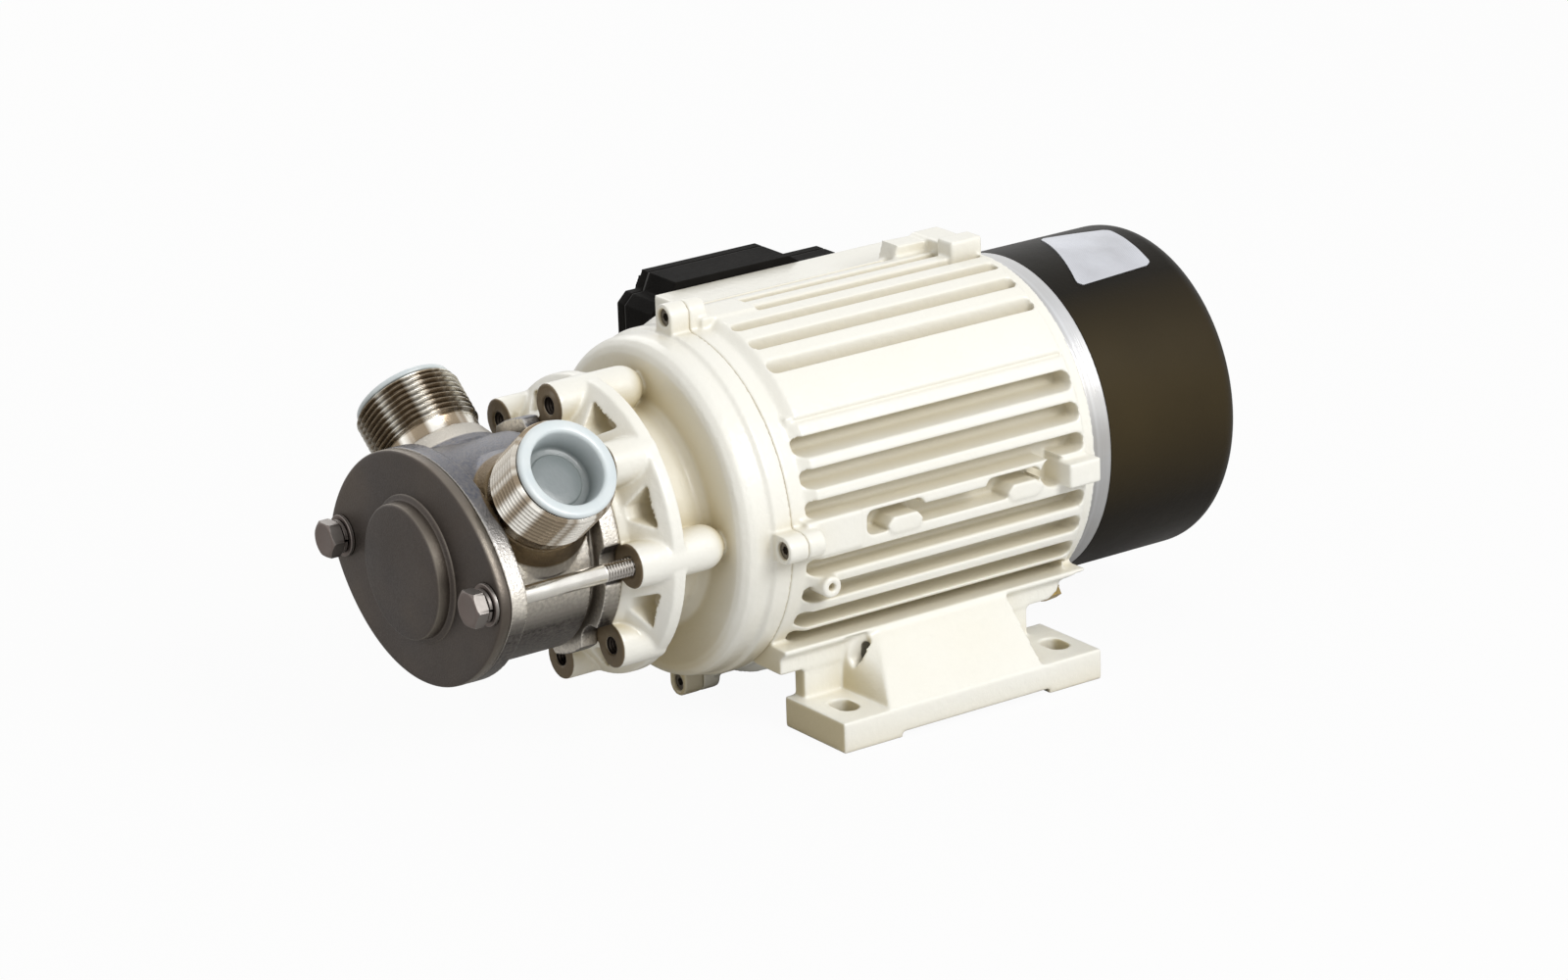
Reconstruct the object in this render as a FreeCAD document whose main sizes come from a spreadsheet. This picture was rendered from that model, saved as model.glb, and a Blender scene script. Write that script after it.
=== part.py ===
import FreeCAD, Part
import math
import os
import Sketcher

# A small self-priming impeller pump with a stainless head, flanged to a finned motor.
# X points to the side that faces the viewer, Y runs along the shaft to the fan, Z is up.
# The origin is the centre of the four foot slots on the plane that the feet stand on.

# Driving dimensions in millimetres, and angles in degrees.
DIMENSIONS = (
    ("shaft_height", 80, "shaft axis above the standing plane"),
    ("fit_gap", 0.05, "radial clearance of a seat or running fit"),
    ("face_gap", 0.3, "gap between faces that must not touch"),
    ("seam_offset", 69, "front end of the frame to the origin"),
    ("frame_length", 142.5, "frame from end to end"),
    ("frame_bore_radius", 56, "bore that holds the stator core"),
    ("frame_wall", 4, "frame wall between the fins"),
    ("fin_radius", 70.5, "circle through the tips of the fins"),
    ("rim_radius", 67.3, "rings at both ends of the frame and the shield rim"),
    ("end_ring_length", 11, "plain ring at the front end of the frame"),
    ("rear_ring_length", 7, "plain ring at the rear end of the frame"),
    ("groove_width", 5, "gap between two upright fins"),
    ("side_groove_width", 7, "gap between two level fins"),
    ("side_groove_start", 6.8, "front end of those gaps behind the front of the frame"),
    ("side_groove_drop", 0.9, "middle one of those gaps below the shaft axis"),
    ("top_fin_pitch", 11.1, "pitch of the upright fins"),
    ("side_fin_pitch", 11.3, "pitch of the level fins"),
    ("lug_circle_radius", 72.7, "circle of the rim screws"),
    ("lug_radius", 5.3, "bosses for the rim screws"),
    ("lug_length", 8, "frame bosses for the rim screws"),
    ("lug_block_half_width", 7.2, "block behind each frame boss"),
    ("lug_block_end", 29, "end of that block behind the front of the frame"),
    ("rear_lug_length", 14.8, "lugs at the rear end of the frame"),
    ("rear_lug_setback", 4.7, "rear end of those lugs in front of the frame's end"),
    ("rear_lug_half_width", 4.8, "those lugs, half their width"),
    ("rear_lug_reach", 76.8, "those lugs, outer face to the shaft axis"),
    ("rim_screw_radius", 2, "rim screws"),
    ("side_pad_height", 6.4, "pads in the middle gap of the level fins"),
    ("side_pad_length", 17, "pads in the middle gap of the level fins"),
    ("foot_inner_reach", 48.5, "inner edge of a foot pad to the shaft plane"),
    ("foot_outer_reach", 86.5, "outer edge of a foot pad to the shaft plane"),
    ("foot_length", 124, "foot pad along the shaft"),
    ("foot_thickness", 12, "foot pad"),
    ("foot_relief", 2, "relief under the middle of a foot pad"),
    ("foot_relief_length", 70, "relief under the middle of a foot pad"),
    ("foot_wall", 6.5, "upright wall between foot pad and rail"),
    ("foot_wall_reach", 56, "outer face of that wall to the shaft plane"),
    ("foot_wall_setback", 4, "front end of that wall behind the front of the pad"),
    ("foot_pillar_length", 17.5, "free front part of that wall"),
    ("foot_rail_drop", 45.5, "top of the rail along the frame below the shaft axis"),
    ("foot_rail_depth", 10.5, "rail along the frame"),
    ("foot_rail_reach", 60, "edge of the rail to the shaft plane"),
    ("foot_web_length", 72.5, "hollow pedestal of a foot along the shaft"),
    ("slot_pitch_x", 140, "foot slots across the shaft"),
    ("slot_pitch_y", 100, "foot slots along the shaft"),
    ("slot_radius", 4.5, "foot slots, half their width"),
    ("slot_length", 13, "foot slots, overall"),
    ("shield_length", 61, "front shield from its bosses to the frame"),
    ("rim_length", 8.6, "rim of the front shield"),
    ("drum_radius", 66, "bearing drum of the front shield at its rim"),
    ("drum_front_radius", 60, "flat front face of the bearing drum"),
    ("drum_length", 20.5, "bearing drum with its rim"),
    ("plate_radius", 57.6, "round plate of the front shield"),
    ("plate_to_drum", 20.5, "back of the round plate to the drum face"),
    ("plate_thickness", 5, "edge of the round plate"),
    ("hub_radius", 42, "neck of the front shield"),
    ("spigot_radius", 30, "opening inside the front shield's nose"),
    ("stud_circle_radius", 49.5, "circle of the eight bosses and of the cover screws"),
    ("stud_boss_radius", 8.6, "eight bosses of the front shield"),
    ("stud_hole_radius", 3.4, "threaded holes in the bosses"),
    ("stud_hole_depth", 18, "threaded holes in the bosses"),
    ("body_length", 56.8, "pump body"),
    ("body_radius", 41.2, "pump body outside"),
    ("body_foot_length", 7, "rear flange of the pump body"),
    ("body_foot_radius", 45, "rear flange of the pump body"),
    ("body_groove_length", 4, "groove in front of the rear flange"),
    ("body_groove_radius", 37, "groove in front of the rear flange"),
    ("flange_thickness", 6.8, "oval flange of the pump body"),
    ("cover_thickness", 4.5, "front cover"),
    ("cover_boss_radius", 26.5, "raised disc of the front cover"),
    ("cover_boss_height", 6, "raised disc of the front cover"),
    ("cover_half_height", 44, "oval cover, half its height"),
    ("cover_half_width", 58.5, "oval cover, half its width"),
    ("cover_ear_radius", 17.5, "rounded ends of the oval cover"),
    ("chamber_radius", 32, "impeller chamber"),
    ("chamber_depth", 43.5, "impeller chamber"),
    ("wear_plate_thickness", 1.5, "disc behind the impeller"),
    ("ring_groove_radius", 35.5, "middle of the sealing ring groove"),
    ("ring_cord_radius", 1.3, "sealing ring section"),
    ("port_angle", 50.5, "ports from the upright"),
    ("port_setback", 28.3, "port axis behind the cover"),
    ("port_reach", 70, "port mouth to the shaft axis"),
    ("port_thread_radius", 20.95, "outside thread of the ports"),
    ("port_thread_length", 19, "outside thread of the ports"),
    ("port_neck_radius", 19.6, "neck under the thread"),
    ("port_bore_radius", 15.5, "port bore"),
    ("port_root_radius", 26, "flared root of a port on the body"),
    ("port_root_reach", 44, "top of the flared root to the shaft axis"),
    ("plug_flange_radius", 19.4, "transport plug, flange"),
    ("plug_flange_thickness", 2.4, "transport plug, flange"),
    ("plug_depth", 13, "transport plug, cup"),
    ("plug_wall", 1.6, "transport plug, wall"),
    ("cover_screw_radius", 3.5, "long cover screws"),
    ("cover_screw_engagement", 14, "long cover screws in the bosses"),
    ("cover_head_flats", 13, "hexagon heads across flats"),
    ("cover_head_height", 5.3, "hexagon heads"),
    ("washer_radius", 8, "flat washers"),
    ("washer_thickness", 1.6, "flat washers"),
    ("spring_washer_radius", 6.4, "spring washers"),
    ("spring_washer_thickness", 2, "spring washers"),
    ("pump_shaft_radius", 7, "shaft in the pump"),
    ("impeller_hub_radius", 13, "metal insert of the impeller"),
    ("impeller_sleeve_radius", 16.5, "rubber sleeve of the impeller"),
    ("impeller_end_gap", 0.4, "impeller to cover and to wear plate"),
    ("vane_thickness", 4, "impeller vanes"),
    ("vane_tip_radius", 2.8, "bead along a vane's tip"),
    ("cam_rise", 6, "height of the cam"),
    ("cam_half_width", 14, "cam, half its width"),
    ("key_width", 4, "impeller key"),
    ("key_height", 4, "impeller key"),
    ("key_length", 24, "impeller key"),
    ("seal_bore_radius", 13.5, "seal chamber"),
    ("seal_seat_length", 5, "fixed ring of the shaft seal"),
    ("seal_ring_length", 3.2, "turning ring of the shaft seal"),
    ("seal_inner_radius", 7.6, "inside of the fixed seal ring"),
    ("front_bearing_bore_radius", 10, "front bearing, bore"),
    ("front_bearing_radius", 23.5, "front bearing, outside"),
    ("front_bearing_width", 14, "front bearing"),
    ("rear_bearing_bore_radius", 8.5, "rear bearing, bore"),
    ("rear_bearing_radius", 20, "rear bearing, outside"),
    ("rear_bearing_width", 12, "rear bearing"),
    ("race_thickness", 3.2, "rings of both bearings"),
    ("bearing_setback", 3, "front bearing behind the drum face's wall"),
    ("shaft_radius", 12.5, "shaft in the rotor"),
    ("fan_seat_radius", 7, "shaft in the fan"),
    ("rotor_radius", 35.2, "rotor core"),
    ("core_length", 76, "rotor and stator cores"),
    ("air_gap", 0.3, "rotor to stator"),
    ("end_ring_radius", 33, "rotor end rings"),
    ("end_ring_inner_radius", 20, "rotor end rings"),
    ("rotor_ring_length", 8, "rotor end rings"),
    ("winding_radius", 53, "winding heads"),
    ("winding_length", 15, "winding heads"),
    ("rear_shield_length", 11.5, "bare rim of the rear shield"),
    ("rear_shield_radius", 64.4, "bare rim of the rear shield"),
    ("rear_web", 6, "web of the rear shield"),
    ("rear_screw_radius", 2, "rear shield screws"),
    ("rear_screw_circle_radius", 59.2, "circle of the rear shield screws"),
    ("fan_cover_radius", 64.5, "fan cover, outside"),
    ("fan_cover_length", 64.2, "fan cover"),
    ("fan_cover_wall", 1.2, "fan cover sheet"),
    ("fan_cover_round", 9, "rounded rear edge of the fan cover"),
    ("fan_radius", 55, "fan blades"),
    ("fan_length", 24, "fan blades"),
    ("fan_setback", 18, "fan behind the front edge of its cover"),
    ("box_seat_height", 5, "flat seat of the terminal box beyond the frame's bore"),
    ("box_depth", 18, "terminal box without its lid"),
    ("box_length", 100, "terminal box along the shaft"),
    ("box_front_offset", 42, "front of the terminal box to the origin"),
    ("box_centre_height", 108, "middle of the terminal box"),
    ("box_end_half_height", 28, "terminal box, low ends"),
    ("box_middle_half_height", 35, "terminal box, raised middle"),
    ("box_middle_length", 54, "terminal box, raised middle"),
    ("box_slope_length", 12, "terminal box, slope to the raised middle"),
    ("box_wall", 2.5, "terminal box"),
    ("lid_depth", 7, "lid of the terminal box"),
    ("gasket_thickness", 1, "gasket under the lid"),
    ("gland_radius", 8, "cable gland thread"),
    ("gland_flats", 18, "cable gland hexagon"),
    ("gland_length", 18, "cable gland outside the box"),
)


class Size:
    """A number together with the sheet formula that gives it."""

    def __init__(self, value, text):
        self.value = value
        self.text = text

    def __add__(self, other):
        other = as_size(other)
        return Size(self.value + other.value, f"({self.text} + {other.text})")

    def __sub__(self, other):
        other = as_size(other)
        return Size(self.value - other.value, f"({self.text} - {other.text})")

    def __mul__(self, other):
        other = as_size(other)
        return Size(self.value * other.value, f"({self.text} * {other.text})")

    def __truediv__(self, other):
        other = as_size(other)
        return Size(self.value / other.value, f"({self.text} / {other.text})")

    def __radd__(self, other):
        return as_size(other) + self

    def __rsub__(self, other):
        return as_size(other) - self

    def __rmul__(self, other):
        return as_size(other) * self

    def __neg__(self):
        return Size(-self.value, f"(0 - {self.text})")


def as_size(number):
    return number if isinstance(number, Size) else Size(float(number), repr(float(number)))


def sine(angle):
    angle = as_size(angle)
    return Size(math.sin(math.radians(angle.value)), f"sin({angle.text})")


def cosine(angle):
    angle = as_size(angle)
    return Size(math.cos(math.radians(angle.value)), f"cos({angle.text})")


def root_of(number):
    return Size(math.sqrt(number.value), f"sqrt({number.text})")


class Sizes:
    """The named cells of the sheet."""


doc = FreeCAD.newDocument("impeller_pump")
sheet = doc.addObject("Spreadsheet::Sheet", "Sizes")
size = Sizes()
for row, (word, number, meaning) in enumerate(DIMENSIONS, start=1):
    sheet.set(f"A{row}", meaning)
    sheet.set(f"B{row}", str(number))
    sheet.setAlias(f"B{row}", word)
    setattr(size, word, Size(float(number), f"Sizes.{word}"))
doc.recompute()

Vector = FreeCAD.Vector
TURNS = {
    "x": FreeCAD.Rotation(Vector(0, 0, 1), Vector(1, 0, 0)),
    "-x": FreeCAD.Rotation(Vector(0, 0, 1), Vector(-1, 0, 0)),
    "y": FreeCAD.Rotation(Vector(0, 0, 1), Vector(0, 1, 0)),
    "-z": FreeCAD.Rotation(Vector(1, 0, 0), 180),
    "z": FreeCAD.Rotation(),
}
PIECES = []


def bind(thing, name, number):
    thing.setExpression(name, as_size(number).text)


def place(thing, x=0, y=0, z=0, turn=None):
    if turn is not None:
        thing.Placement = FreeCAD.Placement(Vector(), turn)
    for letter, number in zip("xyz", (x, y, z)):
        bind(thing, f"Placement.Base.{letter}", number)
    return thing


def keep(thing, name):
    """Names a finished piece and puts it on the list of pieces."""
    thing.Label = name
    PIECES.append(thing)
    return thing


def cylinder(name, radius, length, x=0, y=0, z=0, along="y"):
    thing = doc.addObject("Part::Cylinder", name)
    bind(thing, "Radius", radius)
    bind(thing, "Height", length)
    return place(thing, x, y, z, TURNS[along])


def cone(name, radius, end_radius, length, x=0, y=0, z=0, along="y"):
    thing = doc.addObject("Part::Cone", name)
    bind(thing, "Radius1", radius)
    bind(thing, "Radius2", end_radius)
    bind(thing, "Height", length)
    return place(thing, x, y, z, TURNS[along])


def ball(name, radius, x, y, z):
    thing = doc.addObject("Part::Sphere", name)
    bind(thing, "Radius", radius)
    return place(thing, x, y, z)


def box(name, x, y, z, length, width, height):
    """A block from its lowest corner, with its extent along X, Y and Z."""
    thing = doc.addObject("Part::Box", name)
    bind(thing, "Length", length)
    bind(thing, "Width", width)
    bind(thing, "Height", height)
    return place(thing, x, y, z)


def spoke(name, radius, start, length, y, angle, sides=0):
    """A pin or hexagon that points away from the shaft axis, from a start radius."""
    turn = FreeCAD.Rotation(Vector(0, 1, 0), -angle)
    thing = doc.addObject("Part::Prism" if sides else "Part::Cylinder", name)
    if sides:
        thing.Polygon = sides
    bind(thing, "Circumradius" if sides else "Radius", radius)
    bind(thing, "Height", length)
    x, z = around(as_size(start), angle)
    return place(thing, x, y, z, turn.multiply(TURNS["x"]))


def hexagon(name, flats, height, x=0, y=0, z=0, along="y"):
    thing = doc.addObject("Part::Prism", name)
    thing.Polygon = 6
    bind(thing, "Circumradius", flats / 2 / math.cos(math.radians(30)))
    bind(thing, "Height", height)
    return place(thing, x, y, z, TURNS[along])


def fuse(name, things):
    thing = doc.addObject("Part::MultiFuse", name)
    thing.Shapes = things
    thing.Refine = True
    return thing


def common(name, things):
    thing = doc.addObject("Part::MultiCommon", name)
    thing.Shapes = things
    return thing


def cut(name, base, tools):
    thing = doc.addObject("Part::Cut", name)
    thing.Base = base
    thing.Tool = tools[0] if len(tools) == 1 else fuse(name + "_tools", tools)
    thing.Refine = True
    return thing


def group(name, things):
    """Like pieces that stay separate solids in one node."""
    thing = doc.addObject("Part::Compound", name + "_set")
    thing.Links = things
    return keep(thing, name)


def origin_plane(body, role):
    return next(part for part in body.Origin.OriginFeatures if part.Role == role)


def outline(body, role, name, corners, offset=None):
    """A closed sketch of straight lines, with every corner bound to the sheet."""
    sketch = body.newObject("Sketcher::SketchObject", name)
    sketch.AttachmentSupport = [(origin_plane(body, role), "")]
    sketch.MapMode = "FlatFace"
    if offset is not None:
        bind(sketch, "AttachmentOffset.Base.z", offset)
    corners = [(as_size(across), as_size(up)) for across, up in corners]
    count = len(corners)
    for here, there in zip(corners, corners[1:] + corners[:1]):
        start = Vector(here[0].value, here[1].value, 0)
        sketch.addGeometry(Part.LineSegment(start, Vector(there[0].value, there[1].value, 0)), False)
    for index in range(count):
        sketch.addConstraint(Sketcher.Constraint("Coincident", index, 2, (index + 1) % count, 1))
    for index, corner in enumerate(corners):
        for kind, number in zip(("DistanceX", "DistanceY"), corner):
            rule = sketch.addConstraint(Sketcher.Constraint(kind, -1, 1, index, 1, number.value))
            bind(sketch, f"Constraints[{rule}]", number)
    return sketch


def turned(name, profile):
    """A piece turned about the shaft, from corners given as radius and place along it."""
    body = doc.addObject("PartDesign::Body", name)
    sketch = outline(body, "XY_Plane", name + "_profile", profile)
    feature = body.newObject("PartDesign::Revolution", name + "_turned")
    feature.Profile = sketch
    feature.ReferenceAxis = (sketch, ["V_Axis"])
    feature.Angle = 360
    return place(body, z=size.shaft_height)


def port_turned(name, profile, side):
    """A piece turned about a port's axis, from corners given as radius and height on it."""
    body = doc.addObject("PartDesign::Body", name)
    sketch = outline(body, "XZ_Plane", name + "_profile", profile)
    feature = body.newObject("PartDesign::Revolution", name + "_turned")
    feature.Profile = sketch
    feature.ReferenceAxis = (sketch, ["V_Axis"])
    feature.Angle = 360
    body.Placement = FreeCAD.Placement(Vector(), FreeCAD.Rotation(Vector(0, side, 0), size.port_angle.value))
    bind(body, "Placement.Rotation.Angle", size.port_angle)
    return place(body, y=PORT, z=size.shaft_height)


def extruded(name, role, corners, start, length):
    """A straight bar with a drawn section; it grows along +X, +Y or +Z from its start."""
    body = doc.addObject("PartDesign::Body", name)
    backwards = role == "XZ_Plane"
    sketch = outline(body, role, name + "_section", corners, -as_size(start) if backwards else start)
    feature = body.newObject("PartDesign::Pad", name + "_bar")
    feature.Profile = sketch
    bind(feature, "Length", length)
    feature.Reversed = backwards
    return body


def around(radius, angle):
    """A place on a circle about the shaft; the angle counts up from the viewer's side."""
    return radius * cosine(angle), size.shaft_height + radius * sine(angle)


def ring_profile(inner, outer, start, end):
    return [(inner, start), (outer, start), (outer, end), (inner, end)]


# Places along the shaft, from the fan end of the frame to the front of the pump cover.
AXIS = size.shaft_height
SEAM = -size.seam_offset
FRAME_END = SEAM + size.frame_length
STUD_FACE = SEAM - size.shield_length
DRUM_FACE = SEAM - size.drum_length
PLATE_BACK = DRUM_FACE - size.plate_to_drum
COVER_BACK = STUD_FACE - size.body_length
COVER_FRONT = COVER_BACK - size.cover_thickness
PORT = COVER_BACK + size.port_setback
CHAMBER_END = COVER_BACK + size.chamber_depth
WEAR_FACE = CHAMBER_END - size.wear_plate_thickness
SEAL_END = STUD_FACE - 4
FRONT_BEARING = DRUM_FACE + size.bearing_setback
REAR_BEARING = FRAME_END - 6
REAR_SHIELD_END = FRAME_END + size.rear_shield_length
FAN_COVER_END = REAR_SHIELD_END + size.fan_cover_length
FAN_START = REAR_SHIELD_END + size.fan_setback
FAN_END = FAN_START + size.fan_length
BOX_SEAT = size.frame_bore_radius + size.box_seat_height
CORE_START = -size.core_length / 2
CORE_END = size.core_length / 2
SCREW_SIDES = (0, 180)
EIGHTHS = range(0, 360, 45)
QUARTERS = range(0, 360, 90)


def oval(name, start, length):
    """The cover's outline: two flat arcs above and below, two small arcs at the screws."""
    ear_centre = size.cover_half_width - size.cover_ear_radius
    gap = size.cover_half_height - size.cover_ear_radius
    drop = (ear_centre * ear_centre - gap * gap) / (gap * 2)
    arc_radius = size.cover_half_height + drop
    reach = arc_radius - size.cover_ear_radius
    upper = cylinder(name + "_upper", arc_radius, length, 0, start, AXIS - drop)
    lower = cylinder(name + "_lower", arc_radius, length, 0, start, AXIS + drop)
    lens = common(name + "_lens", [upper, lower])
    half = ear_centre * arc_radius / reach
    middle = box(name + "_middle", -half, start, AXIS - size.cover_half_height, half * 2, length,
                 size.cover_half_height * 2)
    ears = [
        cylinder(f"{name}_ear_{index}", size.cover_ear_radius, length, side * ear_centre, start, AXIS)
        for index, side in enumerate((-1, 1))
    ]
    return fuse(name, [common(name + "_waist", [lens, middle])] + ears)


def front_cover():
    plate = oval("cover_plate", COVER_FRONT, size.cover_thickness)
    disc = turned("cover_disc", [
        (0, COVER_FRONT - size.cover_boss_height),
        (size.cover_boss_radius - 1.2, COVER_FRONT - size.cover_boss_height),
        (size.cover_boss_radius - 0.6, COVER_FRONT - size.cover_boss_height + 0.5),
        (size.cover_boss_radius, COVER_FRONT - 1.5),
        (size.cover_boss_radius, COVER_FRONT + 1),
        (0, COVER_FRONT + 1),
    ])
    holes = []
    for angle in SCREW_SIDES:
        x, z = around(size.stud_circle_radius, angle)
        holes.append(cylinder(f"cover_hole_{angle}", size.cover_screw_radius + 0.3,
                              size.cover_thickness + 2, x, COVER_FRONT - 1, z))
    keep(cut("front_cover_cut", fuse("front_cover_blank", [plate, disc]), holes), "front_cover")


def pump_body():
    flange = oval("body_flange", COVER_BACK, size.flange_thickness)
    groove_end = STUD_FACE - size.body_foot_length
    groove_start = groove_end - size.body_groove_length
    barrel = turned("body_barrel", [
        (0, COVER_BACK),
        (size.body_radius, COVER_BACK),
        (size.body_radius, groove_start),
        (size.body_groove_radius, groove_start),
        (size.body_groove_radius, groove_end),
        (size.body_foot_radius, groove_end),
        (size.body_foot_radius, STUD_FACE),
        (0, STUD_FACE),
    ])
    spigot = cylinder("body_spigot", size.spigot_radius - size.fit_gap, 4, 0, STUD_FACE - 1, AXIS)
    roots = [
        port_turned(f"port_root_{name}", [
            (0, 20), (size.port_root_radius, 20),
            (size.port_root_radius, size.port_root_reach - 11),
            (size.port_root_radius - 3, size.port_root_reach - 6.5),
            (size.port_neck_radius + 0.6, size.port_root_reach),
            (0, size.port_root_reach),
        ], side)
        for name, side in PORTS
    ]
    solid = fuse("pump_body_solid", [flange, barrel, spigot] + roots)
    seal_start = CHAMBER_END - 1
    chamber = turned("body_chamber", [
        (0, COVER_BACK - 1),
        (size.chamber_radius, COVER_BACK - 1),
        (size.chamber_radius, CHAMBER_END),
        (size.seal_bore_radius, CHAMBER_END),
        (size.seal_bore_radius, SEAL_END),
        (size.pump_shaft_radius + 2.5, SEAL_END),
        (size.pump_shaft_radius + 2.5, STUD_FACE + 5),
        (0, STUD_FACE + 5),
    ])
    ring_groove = turned("body_ring_groove", ring_profile(
        size.ring_groove_radius - size.ring_cord_radius, size.ring_groove_radius + size.ring_cord_radius,
        COVER_BACK - 1, COVER_BACK + size.ring_cord_radius * 2 - 0.3))
    bores = [
        port_turned(f"port_bore_{name}", ring_profile(0, size.port_bore_radius, 8, size.port_root_reach + 5), side)
        for name, side in PORTS
    ]
    holes = []
    for angle in SCREW_SIDES:
        x, z = around(size.stud_circle_radius, angle)
        holes.append(cylinder(f"flange_hole_{angle}", size.cover_screw_radius + 0.3,
                              size.flange_thickness + 2, x, COVER_BACK - 1, z))
    for angle in EIGHTHS:
        x, z = around(size.stud_circle_radius, angle)
        holes.append(cylinder(f"body_notch_{angle}", size.stud_boss_radius + 0.4,
                              size.body_foot_length + 2, x, groove_end - 1, z))
    keep(cut("pump_body_cut", solid, [chamber, ring_groove] + bores + holes), "pump_body")


def port_nipples():
    """Threaded nipples on the two roots; the thread is a plain cylinder of its outside size."""
    for name, side in PORTS:
        root = size.port_root_reach
        thread_end = size.port_reach - size.port_thread_length
        blank = port_turned(f"{name}_nipple", [
            (size.port_bore_radius, root),
            (size.port_neck_radius, root),
            (size.port_neck_radius, thread_end),
            (size.port_thread_radius, thread_end + 1.3),
            (size.port_thread_radius, size.port_reach - 1.2),
            (size.port_thread_radius - 1.2, size.port_reach),
            (size.port_bore_radius, size.port_reach),
        ], side)
        keep(blank, f"{name}_nipple")


def port_plugs():
    """Transport plugs: a flange on the mouth and a thin cup in the bore."""
    for name, side in PORTS:
        cup = size.port_bore_radius - 0.3
        seat = size.port_reach + 0.3
        top = seat + size.plug_flange_thickness
        plug = port_turned(f"{name}_plug", [
            (0, top - size.plug_depth),
            (cup - 1, top - size.plug_depth),
            (cup, top - size.plug_depth + 1.5),
            (cup, seat),
            (size.plug_flange_radius, seat),
            (size.plug_flange_radius, top - 0.6),
            (size.plug_flange_radius - 0.6, top),
            (cup - size.plug_wall, top),
            (cup - size.plug_wall - 0.6, top - size.plug_depth + size.plug_wall),
            (0, top - size.plug_depth + size.plug_wall),
        ], side)
        keep(plug, f"{name}_plug")


def cover_ring():
    ring = doc.addObject("Part::Torus", "cover_ring")
    bind(ring, "Radius1", size.ring_groove_radius)
    bind(ring, "Radius2", size.ring_cord_radius - 0.15)
    place(ring, 0, COVER_BACK + size.ring_cord_radius - 0.15, AXIS, TURNS["y"])
    keep(ring, "cover_sealing_ring")


def cover_screws():
    """Two long hexagon screws through cover and flange into the shield, with their washers."""
    screws, washers, springs = [], [], []
    for angle in SCREW_SIDES:
        x, z = around(size.stud_circle_radius, angle)
        washer_front = COVER_FRONT - size.washer_thickness
        spring_front = washer_front - size.spring_washer_thickness
        head_front = spring_front - size.cover_head_height
        head = common(f"cover_screw_head_{angle}", [
            hexagon(f"cover_screw_hexagon_{angle}", size.cover_head_flats, size.cover_head_height,
                    x, head_front, z),
            cone(f"cover_screw_bevel_{angle}", size.cover_head_flats / 2 - 0.2,
                 size.cover_head_flats / 2 + 8, 8.2, x, head_front, z),
        ])
        shank = cylinder(f"cover_screw_shank_{angle}", size.cover_screw_radius,
                         STUD_FACE + size.cover_screw_engagement - spring_front, x, spring_front, z)
        screws.append(fuse(f"cover_screw_{angle}", [head, shank]))
        for rings, word, radius, thickness, front in (
                (washers, "washer", size.washer_radius, size.washer_thickness, washer_front),
                (springs, "spring", size.spring_washer_radius, size.spring_washer_thickness, spring_front)):
            disc = cylinder(f"{word}_disc_{angle}", radius, thickness, x, front, z)
            hole = cylinder(f"{word}_hole_{angle}", size.cover_screw_radius + 0.2, thickness + 2,
                            x, front - 1, z)
            rings.append(cut(f"{word}_{angle}", disc, [hole]))
    group("cover_screws", screws)
    group("cover_flat_washers", washers)
    group("cover_spring_washers", springs)


def wear_plate():
    keep(turned("wear_plate", ring_profile(
        size.seal_bore_radius + 1, size.chamber_radius - size.fit_gap, WEAR_FACE, CHAMBER_END)), "wear_plate")


def cam():
    """A crescent between the two ports that bends the vanes as they pass."""
    length = WEAR_FACE - COVER_BACK - 0.2
    outer = cylinder("cam_outer", size.chamber_radius - size.fit_gap, length, 0, COVER_BACK + 0.1, AXIS)
    inner = cylinder("cam_inner", size.chamber_radius, length + 2, 0, COVER_BACK - 1, AXIS - size.cam_rise)
    slab = box("cam_slab", -size.cam_half_width, COVER_BACK + 0.1, AXIS, size.cam_half_width * 2, length,
               size.chamber_radius)
    keep(cut("cam_cut", common("cam_blank", [outer, slab]), [inner]), "cam")


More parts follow.
